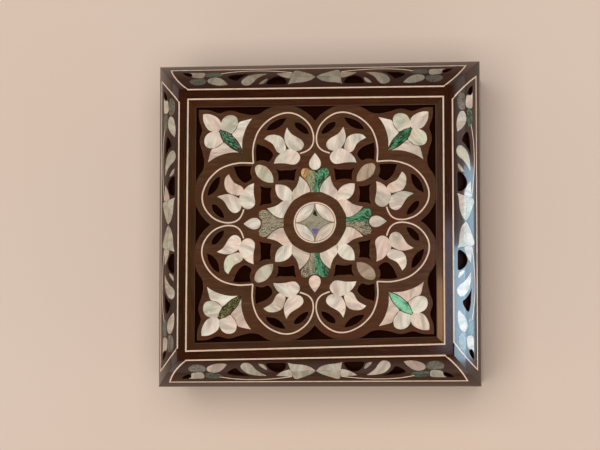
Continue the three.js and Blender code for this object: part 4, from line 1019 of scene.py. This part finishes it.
S_PIECES[5] = ([[-98, 1.2], [-103, 9], [-112, 14], [-121, 15], [-117, 7], [-109, 1.6]], 2, "cwp")
S_PIECES[6] = ([[-98, -1.2], [-103, -9], [-112, -14], [-121, -15], [-117, -7], [-109, -1.6]], 2, "cwp")
S_HOLES = [
    [[-30, 16], [-40, 11], [-48, 12], [-54, 17], [-62, 22], [-48, 26], [-34, 24]],
    [[-30, -16], [-38, -9], [-50, -9], [-58, -13], [-66, -21], [-50, -26], [-34, -24]],
    [[-70, 8], [-78, 9], [-88, 7], [-98, 14], [-94, 24], [-80, 25], [-71, 18]],
    [[-76, -15], [-84, -18], [-94, -16], [-102, -17], [-100, -25], [-88, -27], [-78, -24]],
    [[-10, 17], [0, 13], [10, 17], [12, 25], [0, 28], [-12, 25]],
    [[-10, -17], [0, -13], [10, -17], [12, -25], [0, -28], [-12, -25]],
]
for i, side in enumerate(SIDES):
    wl = Wall(i)
    D = 1.8
    prof = []  # (h, z, kind)
    prof += [(a, z, 0) for a, z in fillet([(-4, 0), (0, 0), (0, 5)], 1, 0.5, 4)]
    zl, zh = SIDE_Z - SIDE_H, SIDE_Z + SIDE_H
    prof += [(0, zl - 0.03, 0), (0, zl + 0.03, 2), (0, zh - 0.03, 2), (0, zh + 0.03, 0)]
    prof += [(a, z, 0) for a, z in fillet([(0, 48), (0, CASE_H), (-4, CASE_H)], 1, 0.5, 4)]
    prof += [(a, z, 0) for a, z in fillet([(-4, CASE_H), (-8, CASE_H), (-8, 48)], 1, 0.5, 4)]
    prof += [(-8, BASE_T, 0), (-4, BASE_T, 0), (-4, 0, 0)]
    h = np.array([p[0] for p in prof], float)
    z = np.array([p[1] for p in prof], float)
    kind = np.array([p[2] for p in prof])
    cols, flows, low = [], [], []
    for end, sunk in ((-1, 0), (-2, 0), (-3, 1), (3, 1), (2, 0), (1, 0)):
        s = np.sign(end)
        X = s * np.where(abs(end) == 1, CASE_HALF + h - 0.02, SIDE_W + (0.02 if abs(end) == 2 else -0.02)) * np.ones(len(h))
        hh = np.where((kind == 2) & bool(sunk), h - D, h)
        cols.append(wl.map(np.column_stack([X, z, hh])) * MM)
        flows.append(np.column_stack([X, z, hh + 50.0 + i * 41]))
        low.append(sunk)
    bm, flow, tint = new_bm()
    n = len(prof)
    loft(bm, cols, lambda j, k: 1 if low[j] and low[j + 1] and kind[k] == 2 and kind[(k + 1) % n] == 2 else 0, flows)
    bmesh.ops.triangulate(bm, faces=[q for q in bm.faces if len(q.verts) > 4])
    bmesh.ops.recalc_face_normals(bm, faces=bm.faces[:])
    me = bpy.data.meshes.new("wall")
    bm.to_mesh(me)
    bm.free()
    body = finish_object(f"wall_{side}", me, "case", CASE_MATS, [f"case_wall_{side}"], sharp=28)
    if side == "back":
        boolean(body, [(x - LEAF_HALF - 0.2, x + LEAF_HALF + 0.2, LEAF_Y1 + 0.1, 79, 50, CASE_H + 1) for x in (-HINGE_X, HINGE_X)])
    up = lambda P: wl.map(np.column_stack([P[:, 0], P[:, 1] + SIDE_Z, P[:, 2]]))
    rect = np.array([[-SIDE_W, -SIDE_H], [SIDE_W, -SIDE_H], [SIDE_W, SIDE_H], [-SIDE_W, SIDE_H]])
    hs = []
    for m_ in (1, -1):
        hs += [smooth(np.array(q) * [m_ * PX, PX], step=0.4) for q in S_HOLES[:4]]
    hs += [smooth(np.array(q) * PX, step=0.4) for q in S_HOLES[4:]]
    bm = pierced(grow(rect, -0.03), hs, -0.9, 0.0, 0.1)
    fl_ = bm.verts.layers.float_vector["Flow"]
    for v in bm.verts:
        v[fl_] = (v.co.x, v.co.y + SIDE_Z, 50.0 + i * 41)
    finish_object(f"side_field_{side}", to_mesh(bm, "side", up, 30), "case", [W_CASE], sharp=40)
    bm, flow, tint = new_bm()
    ps = []
    for m_ in (1, -1):
        for poly, mat, keys in S_PIECES:
            p = ccw(smooth(np.array(poly) * [m_ * PX, PX], step=0.4))
            ps.append((p, mat, pick(keys) if keys else (1, 1, 1), rnd.uniform(0, 3), rnd.uniform(0, 60)))
    inlays(bm, flow, tint, ps, depth=0.5)
    for m_ in (1, -1):
        line = smooth(np.array(S_STEM) * [m_ * PX, PX], closed=False, step=0.6, sharp=70)
        wire_open(bm, flow, tint, line, 0.6, 5, top=0.045)
    ring = []
    for j in range(4):
        a, b = rect[j], rect[(j + 1) % 4]
        ring += [a + (b - a) * t / 12 for t in range(12)]
    wire_closed(bm, flow, tint, grow(np.array(ring), -WIRE / 2), WIRE, 5, seed=i * 4.0)
    finish_object(f"side_garland_{side}", to_mesh(bm, "garland", up), "case", CASE_MATS, [f"side_inlay_{side}"])

# ------------------------------------------------------------------ velvet
def pad(name, x0, x1, y0, y1, z0, z1, node, body, axis, crown, out=1.0):
    """A velvet-covered card: a closed soft slab, crowned along +axis or -axis, its edges rolled over and pulled in between its corners."""
    size = [x1 - x0, y1 - y0, z1 - z0]
    t = [k for k in range(3) if k != axis]
    nu, nv = 56, (56 if min(size[t[0]], size[t[1]]) > 60 else 28)
    bm = bmesh.new()
    r = random.Random(len(name) * 7 + int(abs(x0)))
    ph = [r.uniform(0, 6) for _ in range(6)]
    lo3, hi3 = [x0, y0, z0], [x1, y1, z1]
    back = lo3[axis] if out > 0 else hi3[axis]
    thick = size[axis]
    front, rear = [], []
    for a in range(nu + 1):
        rowf, rowr = [], []
        for b in range(nv + 1):
            # points crowd at the edges, where the roll is
            u, v = 0.5 - 0.5 * math.cos(math.pi * a / nu), 0.5 - 0.5 * math.cos(math.pi * b / nv)
            U, V = u * size[t[0]], v * size[t[1]]
            e = min(U, size[t[0]] - U), min(V, size[t[1]] - V)
            roll = 1.0
            for d in e:
                k = min(1.0, d / 2.2)
                roll *= math.sqrt(max(0.0, 1 - (1 - k) ** 2))
            puff = (1 - (2 * u - 1) ** 4) * (1 - (2 * v - 1) ** 4)
            wave = 0.10 * math.sin(U * 0.13 + ph[0]) * math.sin(V * 0.11 + ph[1]) + 0.05 * math.sin(U * 0.31 + ph[2] + V * 0.07)
            height = thick * (0.5 + 0.38 * roll) + crown * puff + wave * puff
            pin = 0.35  # the sides pull in between the corners
            dx = pin * math.sin(math.pi * v) * (1 - 2 * u)
            dy = pin * math.sin(math.pi * u) * (1 - 2 * v)
            p = [0.0, 0.0, 0.0]
            p[t[0]] = lo3[t[0]] + U + dx
            p[t[1]] = lo3[t[1]] + V + dy
            p[axis] = back + out * height
            rowf.append(bm.verts.new([q * MM for q in p]))
            p[axis] = back + out * 0.02
            rowr.append(bm.verts.new([q * MM for q in p]))
        front.append(rowf)
        rear.append(rowr)
    for a in range(nu):
        for b in range(nv):
            bm.faces.new((front[a][b], front[a + 1][b], front[a + 1][b + 1], front[a][b + 1]))
            bm.faces.new((rear[a][b + 1], rear[a + 1][b + 1], rear[a + 1][b], rear[a][b]))
    for a in range(nu):
        bm.faces.new((front[a][0], rear[a][0], rear[a + 1][0], front[a + 1][0]))
        bm.faces.new((front[a + 1][nv], rear[a + 1][nv], rear[a][nv], front[a][nv]))
    for b in range(nv):
        bm.faces.new((front[0][b + 1], rear[0][b + 1], rear[0][b], front[0][b]))
        bm.faces.new((front[nu][b], rear[nu][b], rear[nu][b + 1], front[nu][b + 1]))
    bmesh.ops.recalc_face_normals(bm, faces=bm.faces[:])
    me = bpy.data.meshes.new(name)
    bm.to_mesh(me)
    bm.free()
    ob = finish_object(name, me, body, [VELVET], [node], sharp=60)
    return ob


I_, T_ = CASE_IN, 1.6
pad("floor_velvet", -I_ + 1.8, I_ - 1.8, -I_ + 1.8, I_ - 1.8, BASE_T, BASE_T + PAD_T, "velvet_floor_pad", "case", 2, 0.7)
pad("lining_back", -I_ + 0.15, I_ - 0.15, I_ - T_, I_, BASE_T + 0.1, 49.5, "velvet_lining_back", "case", 1, 0.25, -1)
pad("lining_front", -I_ + 0.15, I_ - 0.15, -I_, -I_ + T_, BASE_T + 0.1, 49.5, "velvet_lining_front", "case", 1, 0.25, 1)
pad("lining_left", -I_, -I_ + T_, -I_ + T_ - 0.4, I_ - T_ + 0.4, BASE_T + 0.1, 49.5, "velvet_lining_left", "case", 0, 0.25, 1)
pad("lining_right", I_ - T_, I_, -I_ + T_ - 0.4, I_ - T_ + 0.4, BASE_T + 0.1, 49.5, "velvet_lining_right", "case", 0, 0.25, -1)
a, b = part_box("lid_velvet_pad")
a, b = a / MM, b / MM
pad("lid_velvet", a.x + 0.9, b.x - 0.9, a.y + 2.6, b.y - 1.6, a.z, b.z, "lid_velvet_pad", "lid", 2, 0.6, -1)

# ------------------------------------------------------------------ hinges
def lathe(bm, profile, seg, at, axis="x", mat=0):
    """profile: (along, radius) pairs, turned about the axis through at."""
    rows = []
    for s, r in profile:
        row = []
        for k in range(seg):
            c, d = r * math.cos(2 * math.pi * k / seg), r * math.sin(2 * math.pi * k / seg)
            p = (at[0] + s, at[1] + c, at[2] + d) if axis == "x" else (at[0] + c, at[1] + d, at[2] + s)
            row.append(bm.verts.new([q * MM for q in p]))
        rows.append(row)
    for a, b in zip(rows, rows[1:]):
        for k in range(seg):
            bm.faces.new((a[k], a[(k + 1) % seg], b[(k + 1) % seg], b[k])).material_index = mat
    bm.faces.new(rows[0])
    bm.faces.new(rows[-1][::-1])


def slab(bm, x0, x1, y0, y1, z0, z1, r=0.12):
    v0 = len(bm.verts)
    made = bmesh.ops.create_cube(bm, size=1)["verts"]
    for v in made:
        v.co = Vector(((x0 + x1) / 2 + v.co.x * (x1 - x0), (y0 + y1) / 2 + v.co.y * (y1 - y0), (z0 + z1) / 2 + v.co.z * (z1 - z0))) * MM
    edges = list({e for v in made for e in v.link_edges})
    bmesh.ops.bevel(bm, geom=edges, offset=r * MM, segments=2, affect="EDGES", profile=0.6)


def brass_object(name, bm, body, nodes, sharp=35):
    bmesh.ops.recalc_face_normals(bm, faces=bm.faces[:])
    me = bpy.data.meshes.new(name)
    bm.to_mesh(me)
    bm.free()
    return finish_object(name, me, body, [BRASS], nodes, sharp=sharp)


def screw_mesh(name, x, up, body, node_):
    """A countersunk screw: a slightly domed head with a cut slot, and a tapering thread below."""
    bm = bmesh.new()
    z = LID_Z - 0.06 if up else CASE_H + 0.06
    d = 1.0 if up else -1.0
    seg = 28
    rings = [(0.0, 0.02), (0.55, 0.02), (1.0, 0.0), (1.22, -0.05), (1.3, -0.13), (0.62, -0.8), (0.62, -5.4), (0.1, -7.0)]
    rows = []
    for r, s in rings:
        if r == 0:
            rows.append([bm.verts.new(Vector((x, SCREW_Y, z - s * d * 1.0)) * MM)])
            continue
        rows.append([bm.verts.new(Vector((x + r * math.cos(2 * math.pi * k / seg), SCREW_Y + r * math.sin(2 * math.pi * k / seg), z - d * s)) * MM) for k in range(seg)])
    for k in range(seg):
        bm.faces.new((rows[0][0], rows[1][k], rows[1][(k + 1) % seg]))
    for a, b in zip(rows[1:], rows[2:]):
        for k in range(seg):
            bm.faces.new((a[k], a[(k + 1) % seg], b[(k + 1) % seg], b[k]))
    bm.faces.new(rows[-1])
    ob = brass_object(name, bm, body, [node_], 30)
    zz = (z - 0.35, z + 0.3) if not up else (z - 0.3, z + 0.35)
    boolean(ob, [(x - 1.4, x + 1.4, SCREW_Y - 0.14, SCREW_Y + 0.14, *zz)])
    return ob


for nm, x in (("left", -HINGE_X), ("right", HINGE_X)):
    for leaf, body, z0, z1, spans in (("case", "case", CASE_H - LEAF_T, CASE_H + 0.04, [(-LEAF_HALF, -4.15), (4.15, LEAF_HALF)]), ("lid", "lid", LID_Z - 0.04, LID_Z + LEAF_T, [(-4, 4)])):
        bm = bmesh.new()
        slab(bm, x - LEAF_HALF, x + LEAF_HALF, LEAF_Y0, LEAF_Y1, z0, z1)
        for a, b in spans:
            slab(bm, x + a, x + b, LEAF_Y1 - 0.6, AXIS_Y - 1.3, z0, z1, 0.05)
            lathe(bm, [(a, 0.82), (a, KNUCKLE_R - 0.15), (a + 0.15, KNUCKLE_R), (b - 0.15, KNUCKLE_R), (b, KNUCKLE_R - 0.15), (b, 0.82)], 36, (x, AXIS_Y, AXIS_Z))
        brass_object(f"{nm}_hinge_{leaf}_leaf", bm, body, [f"hinge_{nm}_{leaf}_leaf"])
        for s, q in (("a", -SCREW_X), ("b", SCREW_X)):
            screw_mesh(f"{nm}_hinge_{leaf}_screw_{s}", x + q, leaf == "lid", body, f"hinge_{nm}_{leaf}_screw_{s}")
    bm = bmesh.new()
    lathe(bm, [(-LEAF_HALF - 0.0, 0.4), (-LEAF_HALF + 0.02, 0.7), (-LEAF_HALF + 0.12, PIN_R), (LEAF_HALF - 0.12, PIN_R), (LEAF_HALF - 0.02, 0.7), (LEAF_HALF, 0.4)], 28, (x, AXIS_Y, AXIS_Z))
    brass_object(f"{nm}_hinge_pin_turned", bm, "case", [f"hinge_{nm}_pin"])

# ------------------------------------------------------------------ CAD nodes that stay: backing and base
def give(node, mat):
    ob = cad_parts[node]
    if isinstance(ob, str):
        ob = bpy.data.objects[ob]
    ob.data.materials.clear()
    ob.data.materials.append(mat)


m = Mat("base wood", **{"Roughness": 0.5})
g = m.noise(m.mapping(m.coords(), scale=(12, 260, 260)), 1.0, 5, 0.6, 0.4)
m.colour(m.ramp(g, [(0.3, lin(40, 20, 11)), (0.7, lin(86, 50, 30))]))
m.bump(g, 0.25, 0.0002)
BASE = m.m
give("lid_backing_panel", DARK)
give("base_panel", BASE)

# ------------------------------------------------------------------ floor, lights, camera
bm = bmesh.new()
bmesh.ops.create_grid(bm, x_segments=8, y_segments=8, size=4)
me = bpy.data.meshes.new("floor")
bm.to_mesh(me)
bm.free()
floor = bpy.data.objects.new("floor", me)
bpy.context.scene.collection.objects.link(floor)
m = Mat("pale floor", **{"Roughness": 0.9, "Specular IOR Level": 0.1})
m.colour(m.ramp(m.noise(m.coords(), 3.0, 1), [(0.3, lin(232, 212, 198)), (0.7, lin(230, 208, 190))]))
me.materials.append(m.m)


def area_light(name, loc, target, size, power, col, size_y=None):
    li = bpy.data.lights.new(name, "AREA")
    li.shape = "RECTANGLE"
    li.size, li.size_y = size, size_y or size
    li.energy, li.color = power, col
    ob = bpy.data.objects.new(name, li)
    bpy.context.scene.collection.objects.link(ob)
    ob.location = loc
    ob.rotation_euler = (Vector(target) - Vector(loc)).to_track_quat("-Z", "Y").to_euler()
    ob.visible_camera = False
    return ob


soft = area_light("softbox", (0.0, 0.0, 1.5), (0, 0, 0), 1.0, 15.0, (1.0, 0.975, 0.95))
soft.visible_glossy = False
window = area_light("window", (0.20, -0.034, 0.122), (0.085, -0.034, 0.06), 0.062, 0.195, (0.46, 0.77, 1.0), 0.112)
window.visible_diffuse = False
pane = area_light("window edge", (0.20, -0.012, 0.047), (0.085, -0.012, 0.052), 0.104, 0.110, (0.46, 0.77, 1.0), 0.056)
pane.visible_diffuse = False
# only the right border catches the window
bpy.context.view_layer.update()
near = bpy.data.collections.new("right border")
for ob in [o for o in bpy.context.scene.objects if o.type == "MESH"]:
    mid = ob.matrix_world @ (sum((Vector(c) for c in ob.bound_box), Vector()) / 8)
    if mid.x > 0.055 and mid.z > 0.05:
        near.objects.link(ob)
for lamp in (window, pane):
    lamp.light_linking.receiver_collection = near
strip = area_light("strip", (-0.0245, 0.033, 1.4), (-0.0245, 0.033, 0.0), 0.014, 0.036, (0.66, 0.78, 1.0), 0.135)
strip.rotation_euler = (0, 0, 0)
strip.visible_diffuse = False
warm = area_light("warm lamp", (-0.38, -0.022, 0.48), (0.06, -0.045, 0.07), 0.05, 0.09, (1.0, 0.58, 0.28), 0.10)
warm.visible_diffuse = False
world = bpy.data.worlds.new("studio")
bpy.context.scene.world = world
world.use_nodes = True
wt = world.node_tree
bg = wt.nodes["Background"]
tc = wt.nodes.new("ShaderNodeTexCoord")
sx = wt.nodes.new("ShaderNodeSeparateXYZ")
cr = wt.nodes.new("ShaderNodeValToRGB")
wt.links.new(tc.outputs["Generated"], sx.inputs[0])
wt.links.new(sx.outputs[2], cr.inputs[0])
wt.links.new(cr.outputs[0], bg.inputs[0])
# the room is dimmer behind the box than beside it
dim = wt.nodes.new("ShaderNodeMapRange")
wt.links.new(sx.outputs[1], dim.inputs["Value"])
for key, v in zip(("From Min", "From Max", "To Min", "To Max"), (-0.4, 1.0, 1.22, 0.60)):
    dim.inputs[key].default_value = v
wt.links.new(dim.outputs[0], bg.inputs[1])
els = cr.color_ramp.elements
sky = [(0.0, 0.95), (0.35, 0.95), (0.56, 0.5), (0.70, 0.10), (0.9, 0.04), (1.0, 0.03)]  # by height: bright low down, dark overhead
while len(els) < len(sky):
    els.new(0.5)
for e, (q, v) in zip(els, sky):
    e.position, e.color = q, (v, v * 0.965, v * 0.92, 1)

cam = bpy.data.cameras.new("camera")
cam.lens, cam.sensor_width = 144.0, 36.0
cam.clip_start, cam.clip_end = 0.01, 50
co = bpy.data.objects.new("camera", cam)
bpy.context.scene.collection.objects.link(co)
co.location = (0.14298, -0.08793, 1.23151)
co.rotation_mode = "XYZ"
co.rotation_euler = Euler((0.07394, 0.12882, -0.00032), "XYZ")
bpy.context.scene.camera = co
bpy.context.scene.view_settings.view_transform = "Standard"
